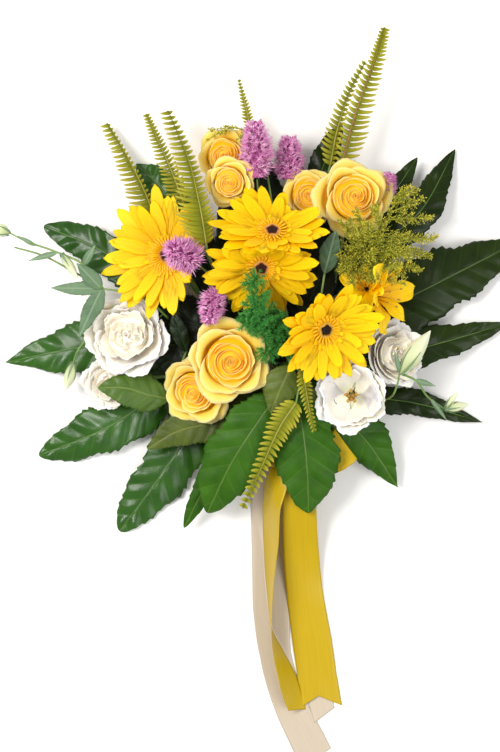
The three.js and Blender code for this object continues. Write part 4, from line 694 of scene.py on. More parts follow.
# Petals, rim out and up, foot out and up, half angle, roll, tuck and drop at the sides, in radii
ROSE_RINGS = (
    (5, 0.97, -0.30, 0.14, -0.82, 54, 0.20, 0.06, 0.18),
    (4, 0.80, -0.08, 0.13, -0.78, 68, 0.15, 0.08, 0.18),
    (3, 0.60, 0.02, 0.11, -0.72, 84, 0.08, 0.10, 0.14),
    (3, 0.47, 0.05, 0.10, -0.64, 84, 0.04, 0.08, 0.10),
    (3, 0.36, 0.06, 0.08, -0.56, 82, 0.025, 0.06, 0.08),
    (3, 0.27, 0.07, 0.06, -0.48, 84, 0.02, 0.05, 0.06),
    (3, 0.18, 0.08, 0.05, -0.4, 88, 0.015, 0.04, 0.05),
)
LISIANTHUS = {
    "left": (at(126, 335, 62), (-0.1, 0.05, 0.99), 37),
    "low_left": (at(107, 384, 39), (-0.15, -0.1, 0.98), 25),
    "right": (at(350, 397, 80), (-0.1, -0.1, 0.98), 33),
    "far_right": (at(400, 353, 62), (0.5, 0.1, 0.86), 30),
}
LISIANTHUS_RINGS = (
    (5, 0.98, -0.14, 0.12, -0.84, 52, 0.12, 0.07, 0.10),
    (4, 0.82, 0.0, 0.11, -0.8, 66, 0.10, 0.09, 0.09),
    (3, 0.60, 0.05, 0.09, -0.72, 80, 0.06, 0.09, 0.08),
    (3, 0.38, 0.06, 0.07, -0.6, 78, 0.03, 0.07, 0.07),
    (3, 0.20, 0.05, 0.05, -0.45, 80, 0.015, 0.05, 0.05),
)


def cupped(frame, skin, radius, phi, ring, seed, tone, ruffle, point=0.0, tip=0.0, rows=16, columns=17):
    """A petal that stands round the axis of a bloom: s runs round it, t from foot to rim.

    Out and up follow a quarter ellipse from the foot to the rim, the last quarter rolls out and
    over, the rim is lower at the sides, one side tucks under the next petal, and ruffle waves it.
    Its middle runs out to a soft point by tip.
    """
    _, rim, top, foot, bottom, spread, roll, tuck, drop = ring
    t = np.linspace(0, 1, rows)[:, None]
    s = np.linspace(-1, 1, columns)[None, :]
    k = t * (1 - drop * np.abs(s) ** 2.6 * 1.4)
    out = foot + (rim - foot) * np.sin(k * math.pi / 2) ** 0.85
    up = bottom + (top - bottom) * (1 - np.cos(k * math.pi / 2)) ** 0.9
    over = ease((k - 0.76) / 0.26)
    curl = roll * (0.75 + 0.5 * chance(seed))
    out = out + curl * over * (1.1 - 0.5 * s**2) + tuck * s * k + tip * np.exp(-((s / 0.3) ** 2)) * over
    up = up - 0.75 * curl * over**2 + point * np.exp(-((s / 0.22) ** 2)) * over
    wave = np.sin(1.7 * math.pi * s + 9 * chance(seed + 1))
    wave = wave + 0.35 * np.sin(4.6 * math.pi * s + 7 * chance(seed + 2))
    frill = 0.28 * np.sin(11 * math.pi * s + 5 * chance(seed + 4))
    fold = ruffle * (wave * k**3 + frill * k**8)
    open_up = 0.5 + 0.5 * np.sin(np.minimum(1, 1.5 * t) * math.pi / 2)
    turned = math.radians(phi) + math.radians(spread) * s * open_up
    turned = turned + 0.05 * (chance(seed + 3) - 0.5) * k
    sheet(skin, frame.ring((out + fold * 0.7) * radius, turned, (up + fold) * radius), 0.4, tone)


def heart(frame, skin, radius, inner, outer, low, high, turns, tone):
    """The rolled heart: one sheet on a spiral from inner to outer, a little higher at its middle."""
    t = np.linspace(0, 1, 8)[:, None]
    s = np.linspace(0, 1, 16 * int(turns + 1))[None, :]
    a = 2 * math.pi * turns * s
    out = radius * (inner + (outer - inner) * s) * (0.75 + 0.25 * t)
    up = radius * (low + (high - low) * t * (1 - 0.12 * s) + 0.012 * np.sin(3 * a) * t)
    sheet(skin, frame.ring(out, a, up)[:, ::-1], 0.5, tone)


def bed(frame, skin, radius, outer, top, low, tone):
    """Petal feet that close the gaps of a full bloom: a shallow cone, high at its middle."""
    t = np.linspace(1, 0.02, 8)[:, None]
    a = np.linspace(0, 2 * math.pi, 49)[None, :]
    sheet(skin, frame.ring(radius * outer * t, a, radius * (top + (low - top) * t)), 0.5, tone)


def rose(name, data, materials):
    """Seven rings of petals, each turned on from the last, round a rolled heart in a bed of feet."""
    centre, facing, radius = data
    frame = Head(centre, facing)
    skin = Skin()
    for order, ring in enumerate(ROSE_RINGS):
        for k in range(ring[0]):
            seed = 17 * order + k + 3 * len(name) + radius
            phi = 360 * (k + 0.3 * (chance(seed + 11) - 0.5)) / ring[0] + 47 * order + 5 * radius
            lean = list(ring)
            shift = 0.016 * min(order, 4) * math.cos(math.radians(phi - 40 * len(name)))
            lean[1] = ring[1] * (0.92 + 0.12 * chance(seed + 12)) + shift
            lean[2] = ring[2] + 0.07 * (chance(seed + 13) - 0.5)
            # Tone grows ring by ring inwards and draws the petals to the deep gold tint: partly painted shade
            # in the rose's hollow
            cupped(frame, skin, radius, phi, lean, seed, 0.02 + 0.13 * order + 0.12 * chance(seed + 14),
                   ruffle=0.045 if order < 3 else 0.015, point=0.04, tip=0.08 if order < 2 else 0.0)
    # The heart takes a deep gold tone: partly painted shade at the bottom of the bloom
    heart(frame, skin, radius, 0.03, 0.13, -0.3, 0.11, 2.2, 0.95)
    bed(frame, skin, radius, 0.68, 0.0, -0.2, 0.6)
    make_piece(f"rose_{name}_fine", skin, materials, f"rose_{name}")


def lisianthus(name, data, materials):
    """Five rings of thin ruffled petals round a heart.

    The right one is open: two rings of petals stand round its pistil and stamens.
    """
    centre, facing, radius = data
    frame = Head(centre, facing)
    skin = Skin()
    rings = LISIANTHUS_RINGS[:2] if name == "right" else LISIANTHUS_RINGS
    for order, ring in enumerate(rings):
        for k in range(ring[0]):
            seed = 29 * order + k + 5 * len(name) + radius
            phi = 360 * (k + 0.4 * (chance(seed + 11) - 0.5)) / ring[0] + 31 * order + 3 * radius
            lean = list(ring)
            lean[1] = ring[1] * (0.93 + 0.08 * chance(seed + 12))
            lean[2] = ring[2] + 0.08 * (chance(seed + 13) - 0.5)
            tone = 0.25 * order + 0.2 * chance(seed + 14)
            cupped(frame, skin, radius, phi, lean, seed, tone, ruffle=0.095, rows=18, columns=29)
    if name == "right":
        a = np.radians(72 * np.arange(5) + 20)
        tips = frame.ring(5, a, -8)
        spines(skin, frame.ring(2, a, -24), tips, 0.6, 0.3, 1)
        beads(skin, tips, 2.1, 0.5, 1, frame.ring(1, a, 1) - frame.centre)
        stigma = frame.place([-2.2, 2.0, 0.3], [0.4, 0.8, -2.2], [-6.5, -6.2, -6.8])
        beads(skin, stigma, 2.7, 0.25, 1)
        tube(skin, frame.place(0, 0, [-25, -14, -6.5]), [2.4, 1.6, 1.4], 8, 0.7, 2)
    else:
        heart(frame, skin, radius, 0.02, 0.1, -0.3, 0.03, 1.5, 0.9)
        bed(frame, skin, radius, 0.56, -0.12, -0.32, 0.9)
    make_piece(f"lisianthus_{name}_fine", skin, materials, f"lisianthus_{name}")


# Centre, facing and size of the full bloom and of the half-open one behind it
ALSTROEMERIA = (
    (at(374, 295, 62), (0.78, -0.05, 0.62), 1.0),
    (at(367, 290, 66), (-0.22, 0.3, 0.93), 0.68),
)


def alstroemeria(materials):
    """Six ruffled tepals, three broad and three narrow, with six long stamens, from a ribbed cup."""
    skin = Skin()
    for order, (centre, facing, scale) in enumerate(ALSTROEMERIA):
        frame = Head(centre, facing)
        for k in range(6):
            broad = k % 2 == 0
            ray(frame, skin, 60 * k + 12 + 25 * order, 3.2 * scale, (46 if broad else 40) * scale,
                (11.5 if broad else 8) * scale**0.6, 52 if broad else 60, -46, 0.5 * (k % 2),
                0.2 + 0.6 * chance(k + 3 + order), blunt=0.5, ruffle=2.8 if broad else 1.8, groove=0.9,
                thickness=0.7, rows=24, columns=15)
        a = np.radians(60 * np.arange(6) + 40)
        bend = frame.ring(7 * scale, a, 16 * scale)
        tips = frame.ring(11 * scale, a, (25 + 2 * np.sin(3 * a)) * scale)
        spines(skin, frame.ring(2.5 * scale, a, 0), tips, 0.55, 0.7, 1, 0.04)
        beads(skin, tips, 1.1, 0.3, 1, tips - bend)
        t = np.linspace(0, 1, 10)[:, None]
        a = np.linspace(0, 2 * math.pi, 31)
        wide = scale * (1.8 + 5.2 * np.sin(t * math.pi / 2)) * (1 + 0.06 * np.cos(6 * a) * t)
        sheet(skin, frame.ring(wide, a, scale * (-14 + 17 * t**1.2))[:, ::-1], 0.8, 0.4, finish=2)
    make_piece("alstroemeria_bloom_fine", skin, materials, "alstroemeria_bloom")


# Foot, direction, length and radius of each spike
LIATRIS = {
    "far_middle": (at(257, 177, 62), (-0.03, 1, 0.16), 61, 20),
    "far_right": (at(289, 177, 36), (0.02, 1, 0.12), 46, 18),
    "middle_left": (at(192, 264, 102), (-0.5, 0.42, 0.75), 39, 21),
    "low_left": (at(216, 292, 70), (-0.18, -0.8, 0.55), 42, 16),
    "right": (at(382, 196, 46), (0.3, 0.85, 0.35), 28, 13),
}


def liatris(name, data, materials):
    """A fluffy spike: florets on a spiral round a slim core, each with a tuft of curled threads.

    The spike's width grows over its first quarter and rounds off towards the tip.
    """
    base, axis, long, radius = data
    axis = unit(axis)
    side = unit(np.cross(axis, [0.31, 0.2, 0.93]))
    other = np.cross(axis, side)
    draw = np.random.default_rng(len(name) * 7 + radius)
    florets = 90
    h = (np.arange(florets) + 0.5) / florets
    a = np.radians(GOLDEN_ANGLE * np.arange(florets)) + draw.normal(0, 0.15, florets)
    full = radius * (0.6 + 0.4 * np.sin(np.minimum(1, h / 0.25) * math.pi / 2))
    full = full * round_off(h, 0.25, 0.82, 0.08) * draw.uniform(0.85, 1.1, florets)
    radial = around(a, side, other)
    heads = base + axis * (long * 0.9 * h)[:, None] + radial * (0.5 * full)[:, None]
    skin = Skin()
    beads(skin, heads, 1.9, 0.3 * draw.uniform(0, 1, florets), 0, radial + 0.4 * axis)
    light = draw.uniform(0.5, 1, florets)
    for _ in range(17):
        way = unit(radial + (0.35 + 0.7 * h[:, None] ** 3) * axis + draw.normal(0, 0.42, (florets, 3)))
        tips = heads + way * (0.56 * full * draw.uniform(0.55, 1.12, florets))[:, None]
        spines(skin, heads - 0.8 * radial, tips, 0.5, light * draw.uniform(0.45, 1.1, florets), 0,
               draw.uniform(-0.35, 0.35, (florets, 1)))
    line = base + axis * np.linspace(0, long * 0.92, 12)[:, None]
    tube(skin, line, np.linspace(radius * 0.42, 1.2, 12), 10, 0.05)
    make_piece(f"liatris_{name}_fine", skin, materials, f"liatris_{name}")


# Greens

# Stalk of each plume, then for each branch its share along the stalk and its end
GOLDENROD = {
    "plume": (
        (at(352, 282, 58), at(366, 258, 74), at(382, 234, 84), at(394, 200, 84)),
        ((0.12, at(345, 244, 84)), (0.28, at(420, 270, 74)), (0.3, at(340, 222, 88)),
         (0.46, at(431, 256, 66)), (0.5, at(354, 212, 94)), (0.56, at(436, 238, 68)),
         (0.8, at(430, 218, 72)), (0.94, at(416, 190, 74)), (0.1, at(346, 266, 82)),
         (0.16, at(404, 284, 72)), (0.42, at(366, 228, 96)), (0.36, at(410, 252, 86)),
         (0.62, at(374, 206, 92)), (0.22, at(372, 252, 96)), (0.08, at(338, 254, 94)),
         (0.04, at(350, 284, 92)), (0.06, at(378, 280, 96)), (0.14, at(400, 266, 92)),
         (0.3, at(352, 236, 100))),
    ),
    "sprig": (
        (at(262, 150, 48), at(254, 138, 52), at(240, 128, 50), at(224, 125, 44)),
        ((0.5, at(236, 140, 50)), (0.75, at(208, 128, 38))),
    ),
}


def goldenrod(name, data):
    """A feathery plume: branches off a bent stalk, twigs off both sides of each, buds along them."""
    spine, ends = data
    draw = np.random.default_rng(61 + len(name))
    full = 1.0 if name == "plume" else 0.45
    skin = Skin()
    strand(skin, spine, 24, 1.3, 0.5, 7, 0.2)
    lines = [along(spine, np.linspace(0.12, 1, 40))]
    for share, end in ends:
        root = along(spine, share)[0]
        middle = blend(root, end, 0.55) + [0, 0, 5]
        lines.append(along([root, middle, end], np.linspace(0, 1, 40)))
        between = along(spine, min(1.0, share + 0.07))[0]
        shorter = blend(between, end + draw.normal(0, 1, 3) * [7, 9, 7], 0.78)
        bow = blend(between, shorter, 0.5) + [0, 0, 7]
        lines.append(along([between, bow, shorter], np.linspace(0, 1, 30)))
    for line in lines:
        reach = float(np.linalg.norm(np.diff(line, axis=0), axis=1).sum())
        tube(skin, line, np.linspace(0.6, 0.22, len(line)), 5, 0.25)
        n = int(full * reach / 0.53)
        share = np.sort(draw.uniform(0.1, 1, n))
        spot = along(line, share)
        way = heading(line, share)
        a = draw.uniform(0, 2 * math.pi, n)
        side = unit(np.cross(way, [0.1, 0.2, 1.0]))
        out = around(a, side, np.cross(way, side))
        long = 12 * full * (1 - 0.6 * share) * draw.uniform(0.4, 1.2, n)
        tips = spot + unit(out * [1, 1, 0.7] + 0.8 * way) * long[:, None]
        spines(skin, spot, tips, 0.22, 0.15)
        for place in (0.3, 0.45, 0.6, 0.72, 0.84, 1.0):
            centre = blend(spot, tips, place) + draw.normal(0, 0.45, (n, 3))
            size = draw.uniform(0.24, 0.54, n)
            beads(skin, centre, size, draw.uniform(0, 0.55 + 0.45 * place, n), 0, tips - spot)
    return skin


ASPARAGUS = (at(268, 352, 70), at(264, 336, 88), at(258, 308, 104), at(253, 280, 108))
# Centre, reach and count of the soft needle tufts along the frond
ASPARAGUS_TUFTS = (
    (at(254, 283, 106), 15, 26), (at(258, 298, 106), 17, 34), (at(252, 308, 103), 15, 30),
    (at(266, 316, 101), 17, 34), (at(258, 326, 96), 16, 30), (at(270, 334, 90), 17, 28),
    (at(278, 322, 92), 14, 26), (at(266, 350, 80), 17, 26), (at(283, 342, 82), 15, 24),
    (at(296, 356, 78), 13, 20), (at(246, 324, 92), 12, 20), (at(290, 330, 80), 13, 20),
)


def asparagus():
    """Asparagus fern: fine branchlets fan from each tuft, and bunches of soft needles clothe them."""
    draw = np.random.default_rng(9)
    skin = Skin()
    strand(skin, ASPARAGUS, 20, 1.1, 0.5, 7, 0.2)
    near = along(ASPARAGUS, np.linspace(0, 1, 40))
    for centre, reach, count in ASPARAGUS_TUFTS:
        root = near[np.argmin(np.linalg.norm(near - centre, axis=1))]
        strand(skin, [root, blend(root, centre, 0.5) + [0, 0, -2], centre], 6, 0.4, 0.4, 5, 0.2)
        way = unit(draw.normal(0, 1, (count, 3)) * [1, 1, 0.6] + [0, 0, 0.25])
        ends = centre + way * (0.9 * reach * draw.uniform(0.75, 1, count))[:, None]
        spines(skin, np.repeat(centre[None], count, axis=0), ends, 0.26, 0.3)
        for place in np.linspace(0.3, 1, 9):
            spot = blend(centre, ends, place)
            for _ in range(4):
                to = unit(draw.normal(0, 1, (count, 3)) + 1.1 * way)
                long = 4.4 * draw.uniform(0.6, 1.1, count)[:, None]
                spines(skin, spot, spot + to * long, 0.27, draw.uniform(0.2, 1, count))
    return skin


# Spine, pairs, left reach, right reach, facing and pinna width in gaps of each frond
FERNS = {
    "far_left_outer": ((at(160, 240, 44), at(148, 200, 40), at(128, 158, 30), at(106, 120, 16)),
                       26, 25, 6, (0.1, 0, 1), 0.48),
    "far_left_middle": ((at(184, 204, 58), at(172, 172, 54), at(158, 140, 44), at(146, 112, 32)),
                        24, 15, 10, (0, 0, 1), 0.46),
    "far_left_inner": ((at(207, 246, 98), at(200, 206, 99), at(188, 158, 80), at(168, 110, 48)),
                       27, 27, 14, (0.2, 0, 1), 0.45),
    "far_top": ((at(250, 126, 36), at(247, 110, 38), at(243, 94, 38), at(239, 77, 34)),
                14, 7, 6, (0, 0, 1), 0.46),
    "far_right_inner": ((at(331, 164, 30), at(338, 128, 32), at(350, 92, 28), at(367, 58, 20)),
                        22, 14, 7, (0, 0, 1), 0.46),
    "far_right_outer": ((at(342, 164, 45), at(356, 112, 50), at(374, 62, 46), at(385, 25, 32)),
                        28, 12, 20, (0, 0, 1), 0.46),
    "front_long": ((at(296, 402, 80), at(279, 428, 76), at(262, 466, 66), at(243, 508, 50)),
                   22, 15, 16, (0, 0, 1), 0.5),
    "front_short": ((at(302, 368, 86), at(305, 388, 84), at(309, 410, 78), at(314, 431, 70)),
                    16, 11, 10, (0.6, 0, 0.8), 0.5),
}


def fern(name, data):
    """A frond: pinnae on both sides of a rib, longest below the middle and short towards the tip.

    A pinna is a narrow tongue with shallow scallops, one ear at its foot, a bowed midrib and a tip
    that bends forward and down.
    """
    spine, pairs, left, right, facing, full = data
    skin = Skin()
    strand(skin, spine, 30, 1.0, 0.35, 7, 0.3, 1)
    gap = length(spine) / pairs
    t = np.linspace(0, 1, 11)[:, None]
    s = np.linspace(-1, 1, 5)[None, :]
    for k in range(pairs):
        share = (k + 0.6) / pairs
        root = along(spine, share)[0]
        way = heading(spine, share)[0]
        across = unit(np.cross(way, facing))
        up = np.cross(across, way)
        taper = (1 - 0.72 * share) * (0.55 + 0.45 * min(1.0, 6 * share))
        for sign, reach in ((-1, left), (1, right)):
            seed = k * 2 + sign + len(name)
            size = 1.15 * reach * taper * (0.92 + 0.14 * chance(seed))
            if size < 0.8:
                continue
            wide = min(full * gap, 0.26 * size + 0.9)
            scallop = 1 + 0.08 * np.cos(2 * math.pi * t * max(3, size / 1.6))
            half = wide * (1 - 0.25 * t) * round_off(t, 0.2, 0.81, 0.02)
            ear = 0.5 * wide * np.exp(-((t / 0.14) ** 2)) * (s > 0) * s
            forward = size * (0.16 * t + 0.2 * t**2) + 0.14 * size * (chance(seed + 3) - 0.5) * t
            side = size * (t - 0.06 * t**2)
            drop = (0.3 if reach <= 8 else 1.0) * 0.12 * max(left, right) * taper * t**1.6
            ridge = 0.12 * wide * (1 - s**2) + 0.35 * (chance(seed + 5) - 0.5) * t
            flat = (forward + s * half * scallop + ear)[..., None] * way
            grid = root + flat + (sign * side)[..., None] * across + (ridge - drop)[..., None] * up
            grid = grid if sign < 0 else grid[:, ::-1]
            sheet(skin, grid, 0.45, 0.1 + 0.85 * chance(seed + 7))
    return skin


# Palm centre and size of each aralia leaf, and the line, half width and sharpness of its lobes
ARALIA = {
    "left": (at(236, 350, 7), 22, (
        ((at(228, 334, 7), at(196, 252, 10), at(163, 190, 12), at(134, 160, 4)), 19, 0.8),
        ((at(219, 340, 7), at(168, 300, 12), at(105, 252, 16), at(40, 223, 1.6)), 22, 0.62),
        ((at(217, 349, 7), at(160, 344, 12), at(84, 346, 16), at(1, 362, 1.6)), 29, 1.05),
        ((at(218, 359, 7), at(170, 386, 12), at(105, 428, 15), at(35, 457, 1.6)), 26, 0.66),
        ((at(226, 368, 7), at(204, 410, 11), at(160, 476, 12), at(117, 534, 1.6)), 27, 0.6),
    )),
    "right": (at(292, 372, 11.5), 16, (
        ((at(306, 377, 11.5), at(350, 394, 14), at(420, 404, 16), at(486, 423, 6)), 14, 1.0),
        ((at(307, 368, 11.5), at(360, 360, 16), at(430, 346, 20), at(514, 322, 6)), 20, 0.9),
        ((at(302, 360, 11.5), at(362, 322, 16), at(440, 282, 22), at(522, 240, 5)), 33, 0.75),
    )),
    "far": (at(298, 322, 17), 16.5, (
        ((at(308, 311, 17), at(362, 256, 22), at(420, 212, 26), at(459, 145, 4)), 20, 0.9),
        ((at(301, 307, 17), at(342, 246, 22), at(388, 200, 24), at(420, 154, 14)), 14, 0.8),
        ((at(294, 308, 17), at(302, 240, 20), at(322, 170, 20), at(343, 118, 6)), 17, 0.8),
    )),
    "front": (at(288, 376, 58), 14, (
        ((at(277, 384, 58), at(250, 420, 57), at(216, 466, 44), at(183, 530, 18)), 14, 0.7),
        ((at(283, 388, 59), at(262, 416, 65), at(232, 462, 58), at(207, 514, 36)), 31, 0.72),
        ((at(291, 389, 58), at(301, 420, 63), at(307, 466, 59), at(309, 514, 44)), 33, 0.8),
        ((at(300, 380, 57.6), at(327, 404, 45), at(366, 440, 32), at(400, 489, 12)), 25, 1.1),
    )),
}


def lobe(skin, points, half, tone, seed, tooth=TOOTH, ribs=VEINS, fold=0.14, crimp=1.0, slim=None,
         rows=120, columns=19, finish=0, thickness=0.8, sharp=0.62):
    """A leaf blade on a line, toothed, swollen between its side veins and waved at its edge.

    Half width grows to the middle and closes to a blunt tip, or is slim(t). The edge has forward
    teeth about every `tooth` millimetres and longer waves. The side veins lie `ribs` millimetres
    apart. The sides hang by fold of their width. The map holds millimetres across and along.
    """
    t = np.linspace(0, 1, rows)
    long = length(points)
    centre = along(points, t)
    way = heading(points, t)
    across = unit(np.cross(way, [0, 0, 1.0]))
    up = np.cross(across, way)
    if slim is None:
        shoulder = 0.3 + 0.7 * ease(t / 0.52)
        wide = half * shoulder * np.clip(1 - (np.maximum(t - 0.55, 0) / 0.452) ** 2.1, 0, 1) ** sharp
    else:
        wide = half * slim(t)
    wide = np.maximum(wide, 0.5)[:, None]
    s = np.linspace(-1, 1, columns)[None, :]
    edge = np.abs(s)
    side = np.sign(s + 0.01)
    run = (t * long)[:, None]
    saw = np.mod(t * long / tooth + 0.5 * np.sin(t * 9 + seed) + 0.2, 1)[:, None]
    depth = (0.05 + 0.09 * np.sin(t * 13 + 3 * seed) ** 2)[:, None]
    coarse = 0.06 * np.sin(run / 12 + 2 * seed) * side
    coarse = coarse + 0.055 * np.sin(run / 5.5 + 3.1 * seed + 2 * side)
    reach = wide * s * (1 + (depth * (saw**1.4 - 0.4) + coarse) * ease(wide / 9) * edge**3)
    vein = (run - 0.75 * np.abs(reach)) / ribs + 0.5 * (side > 0)
    rise = 0.12 * ribs * crimp * np.sin(math.pi * np.mod(vein, 1)) ** 1.3
    rise = rise * (0.8 + 0.45 * np.sin(2.9 * np.floor(vein) + seed + 2 * side))
    swell = rise * np.minimum(1, 2.2 * edge) * (1 - 0.5 * s**4)
    waves = np.sin(run / 15 + seed + 1.7 * side) * crimp * 2.6
    lift = swell * ease(wide / 12) + waves * edge**2 * ease(wide / 14)
    lift = lift - fold * np.abs(reach) - 0.5 * np.exp(-((reach / 1.6) ** 2))
    grid = centre[:, None] + across[:, None] * reach[..., None] + up[:, None] * lift[..., None]
    grid[..., 2] = np.maximum(grid[..., 2], 0.5)
    spots = together(reach, run + 0.5 * ribs * (side > 0))
    sheet(skin, grid[:, ::-1], thickness, tone, spots[:, ::-1], finish)


def disc(skin, centre, radius, tone):
    """A round patch: a square grid drawn in to a circle, a little domed.

    Its map starts 400 mm off the midrib, where no vein but the side ones is drawn.
    """
    a = np.linspace(-1, 1, 13)[:, None]
    b = a.T
    x = radius * a * np.sqrt(1 - b**2 / 2)
    y = radius * b * np.sqrt(1 - a**2 / 2)
    up = 1.2 * (1 - (x**2 + y**2) / radius**2)
    sheet(skin, centre + together(x, y, up), 0.8, tone, together(x + 400, y))


def aralia(name, data):
    """A hand-shaped leaf: its lobes run out from one palm."""
    centre, size, lobes = data
    skin = Skin()
    disc(skin, centre, size * 0.98, 0.4)
    for k, (points, half, sharp) in enumerate(lobes):
        lobe(skin, points, half, 0.15 + 0.5 * chance(k + len(name)), k * 2.3, sharp=sharp)
    for points, _, _ in lobes:
        line = along([centre + [0, 0, 1.0], *points], np.linspace(0, 0.93, 40))
        line[:, 2] = np.maximum(line[:, 2], 1.2) + 0.1
        tube(skin, line, np.linspace(0.8, 0.2, 40), 6, 0.6, 1)
    return skin


def oval(t):
    """Width of an oval leaf along its length: a sine, fullest just below the middle."""
    return np.sin(math.pi * np.clip(t, 0.004, 0.996) ** 0.85) ** 0.75


# Line, half width and finish of each oval leaf; finish 2 is the salal colour with painted shade
SALAL = {
    "left": (
        ((at(168, 399, 34), at(148, 395, 42), at(124, 388, 48), at(97, 388, 48)), 19, 0),
        ((at(230, 414, 34), at(206, 424, 35), at(176, 432, 34), at(147, 449, 30)), 19, 1),
        ((at(186, 352, 50), at(181, 338, 54), at(177, 325, 56), at(174, 311, 55)), 9, 2),
    ),
    "right": (
        ((at(290, 366, 72), at(284, 380, 74), at(277, 396, 72), at(270, 413, 68)), 18, 1),
        ((at(312, 388, 62), at(322, 402, 58.5), at(334, 418, 55), at(345, 432, 51)), 10, 1),
    ),
}


def salal(data):
    """Leathery oval leaves with a sunk midrib and a fine net of veins."""
    skin = Skin()
    for k, (points, half, finish) in enumerate(data):
        lobe(skin, points, half, 0.3 + 0.4 * chance(k), k * 1.7, 6.0, 12.0, 0.15, 0.7, oval, 70, 15, finish)
    return skin


# Root, tip, half width and finish of the leaves that fill the heart of the bunch, between the blooms; finish
# 2, on most of them, is painted shade
FILLERS = (
    (at(232, 356, 32), at(176, 306, 40), 21, 2), (at(250, 348, 38), at(204, 292, 44), 23, 2),
    (at(222, 378, 30), at(150, 352, 34), 20, 2), (at(292, 344, 38), at(330, 256, 46), 24, 2),
    (at(306, 348, 34), at(390, 288, 44), 24, 2), (at(284, 362, 48), at(262, 306, 58), 20, 2),
    (at(262, 338, 28), at(222, 196, 32), 26, 2), (at(246, 340, 26), at(182, 212, 32), 24, 2),
    (at(290, 326, 28), at(300, 158, 26), 24, 2), (at(300, 330, 28), at(342, 168, 28), 24, 2),
    (at(278, 384, 36), at(222, 416, 36), 18, 1), (at(302, 376, 38), at(374, 404, 44), 20, 2),
    (at(296, 358, 50), at(326, 376, 56), 13, 2), (at(268, 350, 30), at(140, 300, 24), 26, 2),
    (at(300, 392, 34), at(334, 426, 40), 17, 0), (at(276, 392, 38), at(262, 428, 44), 15, 2),
    (at(276, 330, 24), at(266, 152, 22), 26, 2), (at(324, 274, 84), at(335, 232, 92), 10, 3),
    (at(286, 340, 60), at(254, 352, 66), 12, 2),
)


def fillers():
    """Oval leaves low between the blooms, each on a stalk that runs down into the tie. Most take the
    near-black salal colour, which is painted shade.
    """
    skin = Skin()
    mouth = at(TIE_COLUMN, TIE_ROW - WRAP_HALF_LENGTH - 2, TIE_HEIGHT)
    for k, (root, tip, half, finish) in enumerate(FILLERS):
        middle = blend(root, tip, 0.5) + [0, 0, 5]
        lobe(skin, (root, middle, tip), half, 0.6 * chance(k + 2), 1.9 * k, 7.0, 12.0, 0.12, 0.8, oval,
             60, 15, finish, 0.7)
        turn = 2.4 * k
        end = mouth + np.array([9 * math.cos(turn), -8, 9 * math.sin(turn)])
        bend = blend(root, mouth, 0.55) + [0, 0, -3]
        entry = mouth + [4 * math.cos(turn), 3, 7 * math.sin(turn)]
        strand(skin, [root, bend, entry, end], 16, 1.1, 1.1, 7, 0.3, 4)
    return skin


def narrow(t):
    """Width of a lance-shaped leaf: widest at a third of its length, with a drawn-out tip."""
    return np.sin(math.pi * np.clip(t, 0.003, 0.997) ** 0.7) ** 0.85


# The points of each stalk beside the lisianthus blooms, then the root, tip and radius of each bud
# and the root, tip and half width of each leaf
SPRAYS = {
    "left": (
        ((at(168, 318, 46), at(150, 302, 65), at(128, 293, 68), at(103, 289, 72)),
         (at(103, 289, 72), at(84, 265, 74), at(56, 252, 71), at(28, 242, 66), at(8, 232, 60)),
         (at(101, 287, 71.4), at(74, 272, 66), at(44, 256, 60), at(14, 247, 54)),
         (at(106, 340, 33), at(88, 338, 40), at(76, 352, 42), at(72, 364, 38))),
        ((at(10, 233, 60.5), at(-11, 226, 56), 6), (at(72, 362, 38), at(64, 391, 30), 5.6),
         (at(62, 254, 71.5), at(79, 279, 76), 4)),
        ((at(102, 289, 72), at(78, 264, 79), 8), (at(102, 289, 72), at(51, 288, 62), 7),
         (at(103, 287, 72), at(79, 337, 60), 9), (at(58, 253, 71), at(29, 261, 66), 3),
         (at(36, 246, 67), at(18, 236, 64), 2.2), (at(84, 266, 73), at(96, 246, 80), 4)),
    ),
    "right": (
        ((at(380, 402, 36), at(392, 396, 58), at(397, 382, 80), at(398, 373, 86)),
         (at(398, 373, 86), at(415, 381, 84), at(427, 397, 76), at(446, 410, 66))),
        ((at(399, 374, 85.6), at(429, 331, 84), 8.6), (at(444, 409, 67), at(470, 404, 62), 4.6),
         (at(445, 409, 66.6), at(457, 392, 70), 3.2)),
        ((at(399, 374, 86), at(393, 351, 92), 2.6), (at(414, 380, 84), at(434, 386, 82), 3),
         (at(430, 399, 75), at(446, 420, 70), 2.6)),
    ),
}


def bud(skin, root, tip, radius, tone):
    """A long furled bud: a spiral of three pleats its skin, and narrow sepals hold its foot."""
    t = np.linspace(0, 1, 22)[:, None]
    a = np.linspace(0, 2 * math.pi, 25)[None, :]
    way = unit(tip - root)
    side = unit(np.cross(way, [0.2, 0.1, 1.0]))
    other = np.cross(way, side)
    wide = radius * np.maximum(0.06, np.sin(math.pi * np.clip(0.08 + 0.9 * t, 0, 1)) ** 1.1)
    wide = wide * (1 + 0.09 * np.cos(3 * a + 6 * t) * ease(t * 3))
    reach = np.linalg.norm(tip - root)
    grid = root + way * (reach * t)[..., None] + wide[..., None] * around(a, side, other)
    sheet(skin, grid, 0.4, tone, finish=2)
    for k in range(5):
        out = around(math.radians(72 * k), side, other)
        t3 = np.linspace(0, 1, 8)[:, None, None]
        s3 = np.linspace(-1, 1, 3)[None, :, None]
        flat = np.cross(way, out)
        lie = radius * (0.25 + 0.8 * np.sin(math.pi * np.minimum(0.08 + 0.5 * t3, 0.5)) ** 1.2) + 0.5
        blade = root + way * reach * 0.55 * t3 + out * lie + flat * s3 * 1.3 * (1 - 0.9 * t3)
        sheet(skin, blade, 0.4, 0.4, finish=0)


